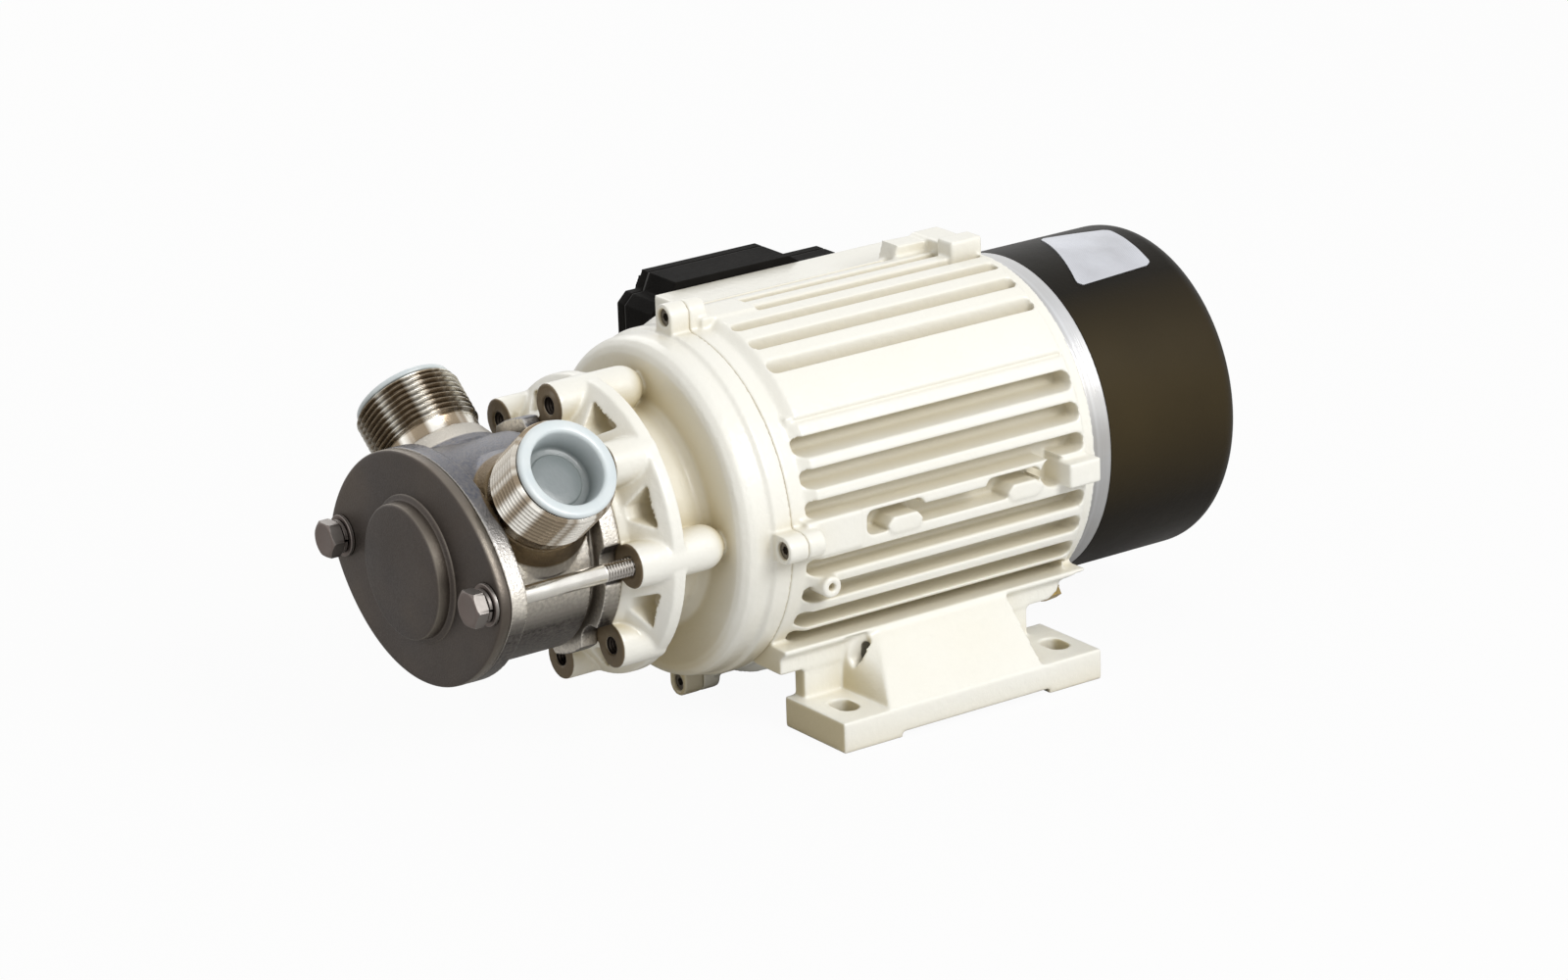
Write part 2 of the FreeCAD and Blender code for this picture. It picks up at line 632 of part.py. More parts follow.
def impeller():
    """Rubber impeller: eight vanes on a sleeve, those under the cam bent back by it."""
    start = COVER_BACK + size.impeller_end_gap
    length = WEAR_FACE - size.impeller_end_gap - start
    parts = [cylinder("impeller_sleeve", size.impeller_sleeve_radius, length, 0, start, AXIS)]
    free_reach = size.chamber_radius - size.vane_tip_radius - 0.4
    bent_reach = size.chamber_radius - size.cam_rise - size.vane_tip_radius - 0.6
    vane_root = size.impeller_sleeve_radius - 4
    for index in range(8):
        angle = 22.5 + 45 * index
        under_cam = 60 < angle < 120
        reach = bent_reach if under_cam else free_reach
        sweep = 30 if under_cam else 8
        root_x, root_z = around(vane_root, angle)
        tip_x, tip_z = around(reach, angle + sweep)
        parts.append(cylinder(f"vane_tip_{index}", size.vane_tip_radius, length, tip_x, start, tip_z))
        across, up = tip_x - root_x, tip_z - root_z
        span = root_of(across * across + up * up)
        side_x = up / span * size.vane_thickness / 2
        side_z = across / span * size.vane_thickness / 2
        parts.append(extruded(f"vane_{index}", "XZ_Plane", [
            (root_x + side_x, root_z - side_z), (tip_x + side_x, tip_z - side_z),
            (tip_x - side_x, tip_z + side_z), (root_x - side_x, root_z + side_z),
        ], start, length))
    bore = cylinder("impeller_bore", size.impeller_hub_radius, length + 2, 0, start - 1, AXIS)
    keep(cut("flexible_impeller_cut", fuse("impeller_solid", parts), [bore]), "flexible_impeller")
    hub = cylinder("hub_blank", size.impeller_hub_radius, length, 0, start, AXIS)
    hub_bore = cylinder("hub_bore", size.pump_shaft_radius + size.fit_gap, length + 2, 0, start - 1, AXIS)
    keyway = box("hub_keyway", -size.key_width / 2 - 0.05, start - 1, AXIS, size.key_width + 0.1, length + 2,
                 size.pump_shaft_radius + size.key_height / 2 + 0.1)
    keep(cut("impeller_hub_cut", hub, [hub_bore, keyway]), "impeller_hub")
    keep(box("impeller_key", -size.key_width / 2, start + 4, AXIS + size.pump_shaft_radius - size.key_height / 2,
             size.key_width, size.key_length, size.key_height), "impeller_key")


def shaft_seal():
    seat_start = SEAL_END - size.seal_seat_length
    keep(turned("seal_seat", ring_profile(size.seal_inner_radius, size.seal_bore_radius - size.fit_gap,
                                          seat_start, SEAL_END)), "seal_seat")
    ring_start = seat_start - size.seal_ring_length
    keep(turned("seal_ring", ring_profile(size.pump_shaft_radius + size.fit_gap, size.seal_bore_radius - 1.5,
                                          ring_start, seat_start - 0.02)), "seal_ring")
    spring = ring_profile(size.pump_shaft_radius + 0.4, size.pump_shaft_radius + 2.4,
                          WEAR_FACE - size.impeller_end_gap + 0.1, ring_start - 0.05)
    keep(turned("seal_spring", spring), "seal_spring")


def drive_shaft():
    """One stainless shaft from the impeller through the motor to the fan."""
    seat = size.pump_shaft_radius
    front = FRONT_BEARING
    front_end = FRONT_BEARING + size.front_bearing_width
    rear = REAR_BEARING
    rear_end = REAR_BEARING + size.rear_bearing_width
    blank = turned("drive_shaft_blank", [
        (0, COVER_BACK + 1.5),
        (seat - 0.8, COVER_BACK + 1.5),
        (seat, COVER_BACK + 2.3),
        (seat, DRUM_FACE - 9),
        (size.front_bearing_bore_radius, DRUM_FACE - 7),
        (size.front_bearing_bore_radius, front_end),
        (size.shaft_radius, front_end),
        (size.shaft_radius, rear),
        (size.rear_bearing_bore_radius, rear),
        (size.rear_bearing_bore_radius, rear_end),
        (size.fan_seat_radius, rear_end),
        (size.fan_seat_radius, FAN_END - 0.8),
        (size.fan_seat_radius - 0.8, FAN_END),
        (0, FAN_END),
    ])
    keyway = box("shaft_keyway", -size.key_width / 2, COVER_BACK + size.impeller_end_gap + 4,
                 AXIS + size.pump_shaft_radius - size.key_height / 2, size.key_width, size.key_length,
                 size.key_height)
    clip_groove = turned("shaft_clip_groove", ring_profile(
        size.fan_seat_radius - 0.8, size.fan_seat_radius + 1, FAN_END - 4, FAN_END - 2.8))
    keep(cut("drive_shaft_cut", blank, [keyway, clip_groove]), "drive_shaft")


def slinger():
    hole = size.pump_shaft_radius + size.fit_gap
    start = STUD_FACE + 12
    keep(turned("water_slinger", [
        (hole, start), (hole + 3, start), (hole + 3, start + 3), (hole + 9, start + 4),
        (hole + 9, start + 6), (hole + 3, start + 7), (hole, start + 7),
    ]), "water_slinger")


def bearing(name, start, bore, outside, width):
    """Outer ring with its balls on the housing, inner ring on the shaft."""
    race = size.race_thickness
    middle = (bore + outside) / 2
    ball_radius = (outside - bore) / 2 - race + 0.9
    outer = turned(name + "_outer_ring", ring_profile(outside - race, outside - size.fit_gap, start, start + width))
    inner = turned(name + "_inner_blank", ring_profile(bore + 0.0, bore + race, start, start + width))
    groove = doc.addObject("Part::Torus", name + "_groove")
    bind(groove, "Radius1", middle)
    bind(groove, "Radius2", ball_radius + size.fit_gap)
    place(groove, 0, start + width / 2, AXIS, TURNS["y"])
    balls = []
    for index in range(7):
        x, z = around(middle, index * 360 / 7)
        balls.append(ball(f"{name}_ball_{index}", ball_radius, x, start + width / 2, z))
    grooved = cut(name + "_outer_cut", outer, [groove])
    group(name, [grooved] + balls)
    keep(cut(name + "_inner_cut", inner, [groove]), name + "_inner_ring")


def bearings():
    bearing("front_bearing", FRONT_BEARING, size.front_bearing_bore_radius, size.front_bearing_radius,
            size.front_bearing_width)
    bearing("rear_bearing", REAR_BEARING, size.rear_bearing_bore_radius, size.rear_bearing_radius,
            size.rear_bearing_width)
    start = REAR_BEARING + size.rear_bearing_width
    keep(turned("wave_washer", ring_profile(size.rear_bearing_radius - 4, size.rear_bearing_radius - 0.5,
                                            start, start + 0.9)), "wave_washer")


def rotor():
    keep(turned("rotor_core", ring_profile(size.shaft_radius, size.rotor_radius, CORE_START, CORE_END)),
         "rotor_core")
    rings = []
    for word, start in (("front", CORE_START - size.rotor_ring_length), ("rear", CORE_END)):
        rings.append(turned(f"rotor_ring_{word}", ring_profile(
            size.end_ring_inner_radius, size.end_ring_radius, start, start + size.rotor_ring_length)))
    group("rotor_end_rings", rings)


def stator():
    keep(turned("stator_core", ring_profile(size.rotor_radius + size.air_gap,
                                            size.frame_bore_radius - size.fit_gap, CORE_START, CORE_END)),
         "stator_core")
    for word, start in (("front", CORE_START - size.winding_length), ("rear", CORE_END)):
        inner = size.rotor_radius + 3
        end = start + size.winding_length
        keep(turned(f"{word}_winding", [
            (inner + 2, start), (size.winding_radius - 3, start), (size.winding_radius, start + 3),
            (size.winding_radius, end - 3), (size.winding_radius - 3, end), (inner + 2, end),
            (inner, end - 3), (inner, start + 3),
        ]), f"{word}_winding")


def groove_tool(name, middle, upright, start, end, reach, width):
    """A slot with round ends between two fins, before the frame's core is kept out of it."""
    half = width / 2
    length = end - start
    out = reach.value > 0
    depth = reach if out else -reach
    if upright:
        turn = "z" if out else "-z"
        parts = [box(name + "_slot", middle - half, start + half, AXIS if out else AXIS + reach,
                     width, length - width, depth)]
        places = [(middle, y, AXIS) for y in (start + half, end - half)]
    else:
        turn = "x" if out else "-x"
        parts = [box(name + "_slot", 0 if out else reach, start + half, AXIS + middle - half,
                     depth, length - width, width)]
        places = [(0, y, AXIS + middle) for y in (start + half, end - half)]
    for index, (x, y, z) in enumerate(places):
        parts.append(cylinder(f"{name}_end_{index}", half, depth, x, y, z, turn))
    return fuse(name, parts)


def fin_grooves(core):
    """Upright slots above and below, level slots on both sides, down to the round core."""
    end = FRAME_END - size.rear_ring_length
    reach = size.fin_radius + 3
    start = SEAM + size.end_ring_length
    tools = []
    for index in range(8):
        middle = size.top_fin_pitch * (index - 3.5)
        for word, way in (("top", reach), ("bottom", -reach)):
            tools.append(groove_tool(f"{word}_groove_{index}", middle, True, start, end, way, size.groove_width))
    start = SEAM + size.side_groove_start
    behind_lug = SEAM + size.lug_block_end + 3
    before_lug = FRAME_END - 28.5
    wide = size.side_groove_width
    gaps = [(f"level_{level + 3}", size.side_fin_pitch * level - size.side_groove_drop, start, end, wide)
            for level in (-3, -2, -1, 1, 2, 3)]
    gaps += [
        ("middle", -size.side_groove_drop, behind_lug, before_lug, wide),
        ("lowest", -size.foot_rail_drop + 2.6, start, end, as_size(5.2)),
        ("highest", size.side_fin_pitch * 4 - size.side_groove_drop - 2.3, start, end, as_size(1.8)),
        ("front_pocket", 2.9 - size.side_groove_drop, behind_lug, behind_lug + 27, as_size(6.8)),
        ("rear_pocket", 2.9 - size.side_groove_drop, before_lug - 26, before_lug, as_size(6.8)),
        ("lug_pocket", 2.3 - size.side_groove_drop, before_lug, before_lug + 13, as_size(11.7)),
    ]
    for word, middle, gap_start, gap_end, width in gaps:
        for side, way in (("near", reach), ("far", -reach)):
            tools.append(groove_tool(f"{side}_{word}_groove", middle, False, gap_start, gap_end, way, width))
    return cut("fin_grooves", fuse("groove_slots", tools), [core])


def bar_out(name, half_width, reach, start, length, angle):
    """A block along the shaft that stands out from the frame's wall above, below or to a side."""
    inner = size.frame_bore_radius + 2
    low, high = AXIS - half_width, AXIS + half_width
    if angle in (0, 180):
        x = inner if angle == 0 else -reach
        return box(name, x, start, low, reach - inner, length, half_width * 2)
    z = AXIS + inner if angle == 90 else AXIS - reach
    return box(name, -half_width, start, z, half_width * 2, length, reach - inner)


def foot(word, side):
    """One cast foot: rail along the frame, wall, pad with two slots and a hollow pedestal."""
    top = size.foot_thickness
    rail_top = AXIS - size.foot_rail_drop
    rail_bottom = rail_top - size.foot_rail_depth
    edge = size.foot_rail_reach
    face = size.foot_wall_reach
    back = face - size.foot_wall
    inner, outer = size.foot_inner_reach, size.foot_outer_reach
    front, end = -size.foot_length / 2, size.foot_length / 2 - 2
    wall_start, wall_end = front + size.foot_wall_setback, end - 12
    step = wall_start + size.foot_pillar_length
    web_end = step + size.foot_web_length
    pad = box(f"{word}_pad", inner if side > 0 else -outer, front, 0, outer - inner, end - front, top)
    wall = box(f"{word}_wall", back if side > 0 else -face, wall_start, top - 1, size.foot_wall,
               wall_end - wall_start, rail_bottom - top + 2)
    rail_bar = extruded(f"{word}_rail_bar", "XZ_Plane", [
        (side * (back - 14), rail_top + 7), (side * (back - 10), rail_top), (side * edge, rail_top),
        (side * edge, rail_top - 1.5), (side * (face + 0.5), rail_top - 4), (side * (face + 0.5), rail_bottom),
        (side * (back - 10), rail_bottom),
    ], SEAM, size.frame_length)
    tail = extruded(f"{word}_rail_tail", "YZ_Plane", [
        (FRAME_END - 17, rail_bottom - 1), (FRAME_END - 11, rail_bottom + 2.5), (FRAME_END - 9, rail_bottom + 7.3),
        (FRAME_END - 4, rail_top - 1.5), (FRAME_END + 1, rail_top - 1.5), (FRAME_END + 1, rail_bottom - 1),
    ], back - 15 if side > 0 else -edge - 1, edge - back + 16)
    rail = cut(f"{word}_rail", rail_bar, [tail])
    pedestal = doc.addObject("PartDesign::Body", f"{word}_pedestal")
    low = outline(pedestal, "XY_Plane", f"{word}_pedestal_foot", [
        (side * back, step), (side * face, step), (side * (outer - 0.5), step),
        (side * (outer - 0.5), web_end), (side * back, web_end),
    ], top)
    high = outline(pedestal, "XY_Plane", f"{word}_pedestal_head", [
        (side * back, step), (side * face, step), (side * edge, step + 14.5),
        (side * edge, web_end + 3), (side * back, web_end + 3),
    ], rail_top - 1.5)
    loft = pedestal.newObject("PartDesign::AdditiveLoft", f"{word}_pedestal_walls")
    loft.Profile = low
    loft.Sections = [high]
    loft.Ruled = True
    hole = extruded(f"{word}_notch", "XZ_Plane", [
        (side * (face + 2.4), rail_top - 1), (side * (face + 2.4), rail_bottom + 0.5),
        (side * (face + 4.8), rail_bottom - 3), (side * (face + 7), rail_bottom + 0.5),
        (side * (edge + 1.2), rail_top - 1),
    ], step - 1, 11)
    pocket = extruded(f"{word}_pocket", "XZ_Plane", [
        (side * (outer - 8), -1), (side * (outer - 8), top - 1), (side * (edge - 0.5), rail_bottom + 5),
        (side * face, rail_bottom + 5), (side * face, -1),
    ], step + 8, size.foot_web_length - 16)
    relief = box(f"{word}_relief", inner - 1 if side > 0 else -outer - 1, -size.foot_relief_length / 2, -1,
                 outer - inner + 2, size.foot_relief_length, size.foot_relief + 1)
    slots = []
    for word_end, way in (("front", -1), ("rear", 1)):
        x = side * size.slot_pitch_x / 2
        y = way * size.slot_pitch_y / 2
        travel = size.slot_length - size.slot_radius * 2
        slots.append(box(f"{word}_{word_end}_slot", x - travel / 2, y - size.slot_radius, -1, travel,
                         size.slot_radius * 2, top + 2))
        for index, shift in enumerate((-1, 1)):
            slots.append(cylinder(f"{word}_{word_end}_slot_end_{index}", size.slot_radius, top + 2,
                                  x + travel / 2 * shift, y, -1, "z"))
    return [pad, wall, rail, pedestal], [relief, pocket, hole] + slots


def stator_frame():
    """Die-cast frame with parallel fins, screw lugs, side pads and both feet in one piece."""
    core_radius = size.frame_bore_radius + size.frame_wall
    core = cylinder("frame_core", core_radius, size.frame_length + 2, 0, SEAM - 1, AXIS)
    envelope = turned("frame_envelope", [
        (0, SEAM), (size.rim_radius, SEAM), (size.rim_radius, SEAM + size.end_ring_length - 4),
        (size.fin_radius, SEAM + size.end_ring_length), (size.fin_radius, FRAME_END - size.rear_ring_length),
        (size.rim_radius, FRAME_END - size.rear_ring_length + 2), (size.rim_radius, FRAME_END), (0, FRAME_END),
    ])
    finned = cut("finned_blank", envelope, [fin_grooves(core)])
    additions = []
    for angle in QUARTERS:
        x, z = around(size.lug_circle_radius, angle)
        additions.append(cylinder(f"front_lug_{angle}", size.lug_radius, size.lug_length, x, SEAM, z))
        additions.append(bar_out(f"front_lug_root_{angle}", size.lug_radius, size.lug_circle_radius, SEAM,
                                 size.lug_length, angle))
        additions.append(bar_out(f"front_lug_block_{angle}", size.lug_block_half_width, size.fin_radius + 0.8,
                                 SEAM + 4, size.lug_block_end - 4, angle))
        additions.append(bar_out(f"rear_lug_{angle}", size.rear_lug_half_width, size.rear_lug_reach,
                                 FRAME_END - size.rear_lug_setback - size.rear_lug_length,
                                 size.rear_lug_length, angle))
    half = size.side_pad_height / 2
    long = size.side_pad_length / 2
    middle_z = AXIS - 2.6
    for index, middle in enumerate((SEAM + 49.5, FRAME_END - 36.5)):
        additions.append(extruded(f"side_pad_{index}", "YZ_Plane", [
            (middle - long, middle_z), (middle - long + 3, middle_z - half), (middle + long - 3, middle_z - half),
            (middle + long, middle_z), (middle + long - 3, middle_z + half), (middle - long + 3, middle_z + half),
        ], size.frame_bore_radius - 6, size.fin_radius + 0.5 - size.frame_bore_radius + 6))
    additions.append(cylinder("side_plug_boss", 4.2, 22, 50, SEAM + 14.2, AXIS - 19.8, "x"))
    additions.append(extruded("lifting_rib", "YZ_Plane", [
        (FRAME_END - 36, AXIS + 60), (FRAME_END - 31.5, AXIS + 74), (FRAME_END - 15.5, AXIS + 73.2),
        (FRAME_END - 3.5, AXIS + 71), (FRAME_END - 3.5, AXIS + 60),
    ], -24, 10))
    seat_depth = BOX_SEAT - 40
    seat_front, seat_back = 1.5 - size.box_front_offset, FRAME_END - 1.5
    seat_low, seat_high = size.box_centre_height - 33, size.box_centre_height + 32
    additions.append(extruded("box_seat", "YZ_Plane", [
        (seat_front, seat_low), (seat_back, seat_low), (seat_back, seat_high), (seat_front, seat_high),
    ], -BOX_SEAT, seat_depth))
    additions.append(spoke("earth_boss", as_size(5.2), 58, EARTH_SEAT - 58, EARTH, EARTH_ANGLE))
    cuts = [cylinder("frame_bore", size.frame_bore_radius, size.frame_length + 4, 0, SEAM - 2, AXIS)]
    for word, side in (("near", 1), ("far", -1)):
        solids, holes = foot(word, side)
        additions += solids
        cuts += holes
    far_clear = extruded("box_clearance", "YZ_Plane", box_outline(3), -size.fin_radius - 20,
                         size.fin_radius + 20 - BOX_SEAT)
    cuts.append(far_clear)
    cuts.append(cylinder("side_plug_hole", 1.5, 6, size.fin_radius - 3.5, SEAM + 14.2, AXIS - 19.8, "x"))
    cuts.append(spoke("earth_hole", as_size(2.5), 60, as_size(13), EARTH, EARTH_ANGLE))
    cuts.append(box("gland_clearance", -size.fin_radius - 5, BOX_BACK - 1, size.box_centre_height - 11,
                    size.fin_radius + 5 - BOX_SEAT + 1.2, size.gland_length + 2, 22))
    cuts.append(box("seat_window", -BOX_SEAT - 1, -10, size.box_centre_height - 12, 8, 24, 24))
    for angle in QUARTERS:
        x, z = around(size.lug_circle_radius, angle)
        cuts.append(cylinder(f"front_lug_hole_{angle}", size.rim_screw_radius + 0.05, size.lug_length,
                             x, SEAM - 1, z))
        x, z = around(size.rear_screw_circle_radius, angle)
        cuts.append(cylinder(f"rear_screw_bore_{angle}", size.rear_screw_radius + 0.05, 13, x, FRAME_END - 12, z))
    for index, (y, z) in enumerate(SEAT_SCREW_PLACES):
        cuts.append(cylinder(f"seat_screw_bore_{index}", 2.05, 8, -BOX_SEAT - 1, y, z, "x"))
    cuts.append(turned("rear_shield_clearance", ring_profile(
        0, size.rear_shield_radius + size.face_gap, FRAME_END, FRAME_END + size.rear_shield_length)))
    keep(cut("stator_frame_cut", fuse("frame_solid", [finned] + additions), cuts), "stator_frame")


def front_end_shield():
    """Lantern between pump and motor: nose with eight bosses, round plate, bearing drum, rim."""
    slope = 4
    blank = turned("shield_blank", [
        (0, STUD_FACE),
        (size.hub_radius + 2, STUD_FACE),
        (size.hub_radius + 3, STUD_FACE + slope),
        (size.plate_radius, PLATE_BACK - size.plate_thickness),
        (size.plate_radius, PLATE_BACK),
        (size.hub_radius, PLATE_BACK + 1.5),
        (size.hub_radius, DRUM_FACE - 3),
        (size.hub_radius + 3, DRUM_FACE),
        (size.drum_front_radius, DRUM_FACE),
        (size.drum_front_radius + 2.6, DRUM_FACE + 0.9),
        (size.drum_radius - 1.2, DRUM_FACE + 3),
        (size.drum_radius - 0.4, DRUM_FACE + 5.5),
        (size.drum_radius, SEAM - size.rim_length),
        (size.rim_radius, SEAM - size.rim_length + 1.2),
        (size.rim_radius, SEAM),
        (0, SEAM),
    ])
    parts = [blank]
    holes = []
    for angle in EIGHTHS:
        x, z = around(size.stud_circle_radius, angle)
        boss_length = PLATE_BACK - STUD_FACE
        if angle in QUARTERS:
            boss_length = DRUM_FACE - STUD_FACE - size.stud_boss_radius
            parts.append(ball(f"stud_boss_end_{angle}", size.stud_boss_radius, x, STUD_FACE + boss_length, z))
        parts.append(cylinder(f"stud_boss_{angle}", size.stud_boss_radius, boss_length, x, STUD_FACE, z))
        holes.append(cylinder(f"stud_hole_{angle}", size.cover_screw_radius + 0.02 if angle in SCREW_SIDES
                              else size.stud_hole_radius, size.stud_hole_depth + 1, x, STUD_FACE - 1, z))
    for angle in QUARTERS:
        x, z = around(size.lug_circle_radius, angle)
        parts.append(cylinder(f"rim_boss_{angle}", size.lug_radius, size.rim_length, x, SEAM - size.rim_length, z))
        parts.append(bar_out(f"rim_boss_root_{angle}", size.lug_radius, size.lug_circle_radius,
                             SEAM - size.rim_length, size.rim_length, angle))
        holes.append(cylinder(f"rim_hole_{angle}", size.rim_screw_radius + 0.3, size.rim_length + 2,
                              x, SEAM - size.rim_length - 1, z))
        holes.append(cylinder(f"rim_recess_{angle}", size.rim_screw_radius + 1.4, 5.8,
                              x, SEAM - size.rim_length - 1, z))
    for angle in EIGHTHS:
        wedge = lantern_pocket(f"pocket_{angle}", angle + 22.5)
        holes.append(wedge)
    spigot = turned("shield_spigot", ring_profile(
        size.frame_bore_radius - 5, size.frame_bore_radius - size.fit_gap, SEAM - 1, SEAM + 4))
    parts.append(spigot)
    inside = turned("shield_inside", [
        (0, STUD_FACE - 1),
        (size.spigot_radius, STUD_FACE - 1),
        (size.spigot_radius, DRUM_FACE - 9),
        (size.front_bearing_bore_radius + 0.4, DRUM_FACE - 7),
        (size.front_bearing_bore_radius + 0.4, FRONT_BEARING),
        (size.front_bearing_radius, FRONT_BEARING),
        (size.front_bearing_radius, FRONT_BEARING + size.front_bearing_width),
        (size.frame_bore_radius - 12, FRONT_BEARING + size.front_bearing_width),
        (size.frame_bore_radius - 12, DRUM_FACE + 6),
        (size.frame_bore_radius - 5, DRUM_FACE + 6),
        (size.frame_bore_radius - 5, SEAM + 6),
        (0, SEAM + 6),
    ])
    holes.append(inside)
    keep(cut("front_end_shield_cut", fuse("shield_solid", parts), holes), "front_end_shield")


def lantern_pocket(name, angle):
    """A three-cornered pocket in the cone between two bosses, closed at its back."""
    low, high, spread = 45.5, 53.5, 9
    points = []
    for radius, turn in ((low, -3), (high, -spread), (high, spread), (low, 3)):
        x = as_size(radius) * cosine(angle + turn)
        z = AXIS + as_size(radius) * sine(angle + turn)
        points.append((x, z))
    return extruded(name, "XZ_Plane", points, STUD_FACE - 1, PLATE_BACK - size.plate_thickness - STUD_FACE + 3)


def rim_screws():
    """Socket screws in the rim bosses, and the screws of the rear shield."""
    screws = []
    for angle in QUARTERS:
        x, z = around(size.lug_circle_radius, angle)
        front = SEAM - size.rim_length + 1.3
        head = cylinder(f"rim_screw_head_{angle}", size.rim_screw_radius + 1.2, 3.4, x, front, z)
        shank = cylinder(f"rim_screw_shank_{angle}", size.rim_screw_radius, size.rim_length + 3.7, x, front + 1, z)
        socket = hexagon(f"rim_screw_socket_{angle}", as_size(3), 3, x, front - 1, z)
        screws.append(cut(f"rim_screw_{angle}", fuse(f"rim_screw_solid_{angle}", [head, shank]), [socket]))
    group("rim_screws", screws)
    screws = []
    for angle in QUARTERS:
        x, z = around(size.rear_screw_circle_radius, angle)
        back = FRAME_END + size.rear_web
        head = cylinder(f"rear_screw_head_{angle}", 3.5, 4, x, back, z)
        shank = cylinder(f"rear_screw_shank_{angle}", size.rear_screw_radius, size.rear_web + 10,
                         x, FRAME_END - 9, z)
        screws.append(fuse(f"rear_screw_{angle}", [head, shank]))
    group("rear_shield_screws", screws)


def rear_end_shield():
    """Bare aluminium shield with the rear bearing's seat and a step for the fan cover."""
    hub = size.rear_bearing_radius + 5
    blank = turned("rear_shield_blank", [
        (0, REAR_BEARING - 3), (hub, REAR_BEARING - 3), (hub, FRAME_END),
        (size.frame_bore_radius - size.fit_gap - 5, FRAME_END),
        (size.frame_bore_radius - size.fit_gap - 4, FRAME_END - 4),
        (size.frame_bore_radius - size.fit_gap, FRAME_END - 4),
        (size.frame_bore_radius - size.fit_gap, FRAME_END),
        (size.rear_shield_radius, FRAME_END), (size.rear_shield_radius, REAR_SHIELD_END - 1.5),
        (size.fan_cover_radius - size.fan_cover_wall - 0.1, REAR_SHIELD_END - 1.5),
        (size.fan_cover_radius - size.fan_cover_wall - 0.1, REAR_SHIELD_END + 6),
        (size.fan_cover_radius - 8, REAR_SHIELD_END + 6),
        (size.fan_cover_radius - 8, FRAME_END + size.rear_web),
        (hub, FRAME_END + size.rear_web), (hub, REAR_SHIELD_END), (0, REAR_SHIELD_END),
    ])
    holes = []
    for angle in QUARTERS:
        x, z = around(size.rear_screw_circle_radius, angle)
        holes.append(cylinder(f"rear_screw_hole_{angle}", size.rear_screw_radius + 0.3, size.rear_web + 2,
                              x, FRAME_END - 1, z))
        holes.append(cylinder(f"rear_screw_recess_{angle}", 3.9, size.rear_shield_length + 8,
                              x, FRAME_END + size.rear_web, z))
    for angle in COVER_SCREW_ANGLES:
        holes.append(spoke(f"cover_screw_bore_{angle}", as_size(2.05), size.fan_cover_radius - 10, as_size(10),
                           REAR_SHIELD_END + 3, angle))
    holes.append(turned("rear_bearing_seat", [
        (0, REAR_BEARING - 4), (size.rear_bearing_radius, REAR_BEARING - 4),
        (size.rear_bearing_radius, REAR_BEARING + size.rear_bearing_width + 1),
        (size.rear_bearing_bore_radius + 1, REAR_BEARING + size.rear_bearing_width + 1),
        (size.rear_bearing_bore_radius + 1, REAR_SHIELD_END + 8), (0, REAR_SHIELD_END + 8),
    ]))
    keep(cut("rear_end_shield_cut", blank, holes), "rear_end_shield")


def fan():
    """Fan with eight straight blades between a hub and a thin back disc."""
    hub = cylinder("fan_hub", 13, size.fan_length - 4.2, 0, FAN_START, AXIS)
    disc = cylinder("fan_disc", size.fan_radius - 2, 2.5, 0, FAN_START, AXIS)
    parts = [hub, disc]
    for index in range(8):
        blade = doc.addObject("Part::Box", f"fan_blade_{index}")
        bind(blade, "Length", size.fan_radius - 11)
        bind(blade, "Width", size.fan_length - 4.2)
        bind(blade, "Height", 2)
        turn = FreeCAD.Rotation(Vector(0, 1, 0), -45 * index)
        offset = turn.multVec(Vector(11, 0, -1))
        place(blade, offset.x, FAN_START, AXIS + offset.z, turn)
        parts.append(blade)
    bore = cylinder("fan_bore", size.fan_seat_radius + size.fit_gap, size.fan_length + 2, 0, FAN_START - 1, AXIS)
    keep(cut("fan_cut", fuse("fan_solid", parts), [bore]), "fan")
    keep(turned("fan_clip", ring_profile(size.fan_seat_radius - 0.75, size.fan_seat_radius + 1.8,
                                         FAN_END - 3.95, FAN_END - 2.85)), "fan_clip")


def fan_cover():
    """Drawn sheet cover with a rounded rear edge and a ring of air slots."""
    outer, wall, turn = size.fan_cover_radius, size.fan_cover_wall, size.fan_cover_round
    bend = [(step, sine(step), cosine(step)) for step in range(0, 91, 15)]
    centre_y = FAN_COVER_END - turn
    outside = [(outer - turn + turn * cos, centre_y + turn * sin) for step, sin, cos in bend]
    inside = [(outer - turn + (turn - wall) * cos, centre_y + (turn - wall) * sin) for step, sin, cos in bend]
    start = REAR_SHIELD_END - 1.4
    shell = turned("fan_cover_shell", [(outer - wall, start), (outer, start)] + outside
                   + [(0, FAN_COVER_END), (0, FAN_COVER_END - wall)] + inside[::-1])
    slots = []
    for ring, (radius, count) in enumerate(((18, 8), (30, 14), (42, 20))):
        for index in range(count):
            angle = 360 / count * index
            x, z = around(as_size(radius), angle)
            slots.append(cylinder(f"air_hole_{ring}_{index}", 4.2, wall + 2, x, FAN_COVER_END - wall - 1, z))
    for angle in COVER_SCREW_ANGLES:
        slots.append(spoke(f"cover_screw_hole_{angle}", as_size(2.2), size.fan_cover_radius - 5, as_size(10),
                           REAR_SHIELD_END + 3, angle))
    keep(cut("fan_cover_cut", shell, slots), "fan_cover")
    screws = []
    for angle in COVER_SCREW_ANGLES:
        shank = spoke(f"fan_cover_screw_shank_{angle}", as_size(2), size.fan_cover_radius - 7, as_size(7.5),
                      REAR_SHIELD_END + 3, angle)
        head = spoke(f"fan_cover_screw_head_{angle}", as_size(3.6), size.fan_cover_radius + 0.05, as_size(2.2),
                     REAR_SHIELD_END + 3, angle)
        screws.append(fuse(f"fan_cover_screw_{angle}", [head, shank]))
    group("fan_cover_screws", screws)


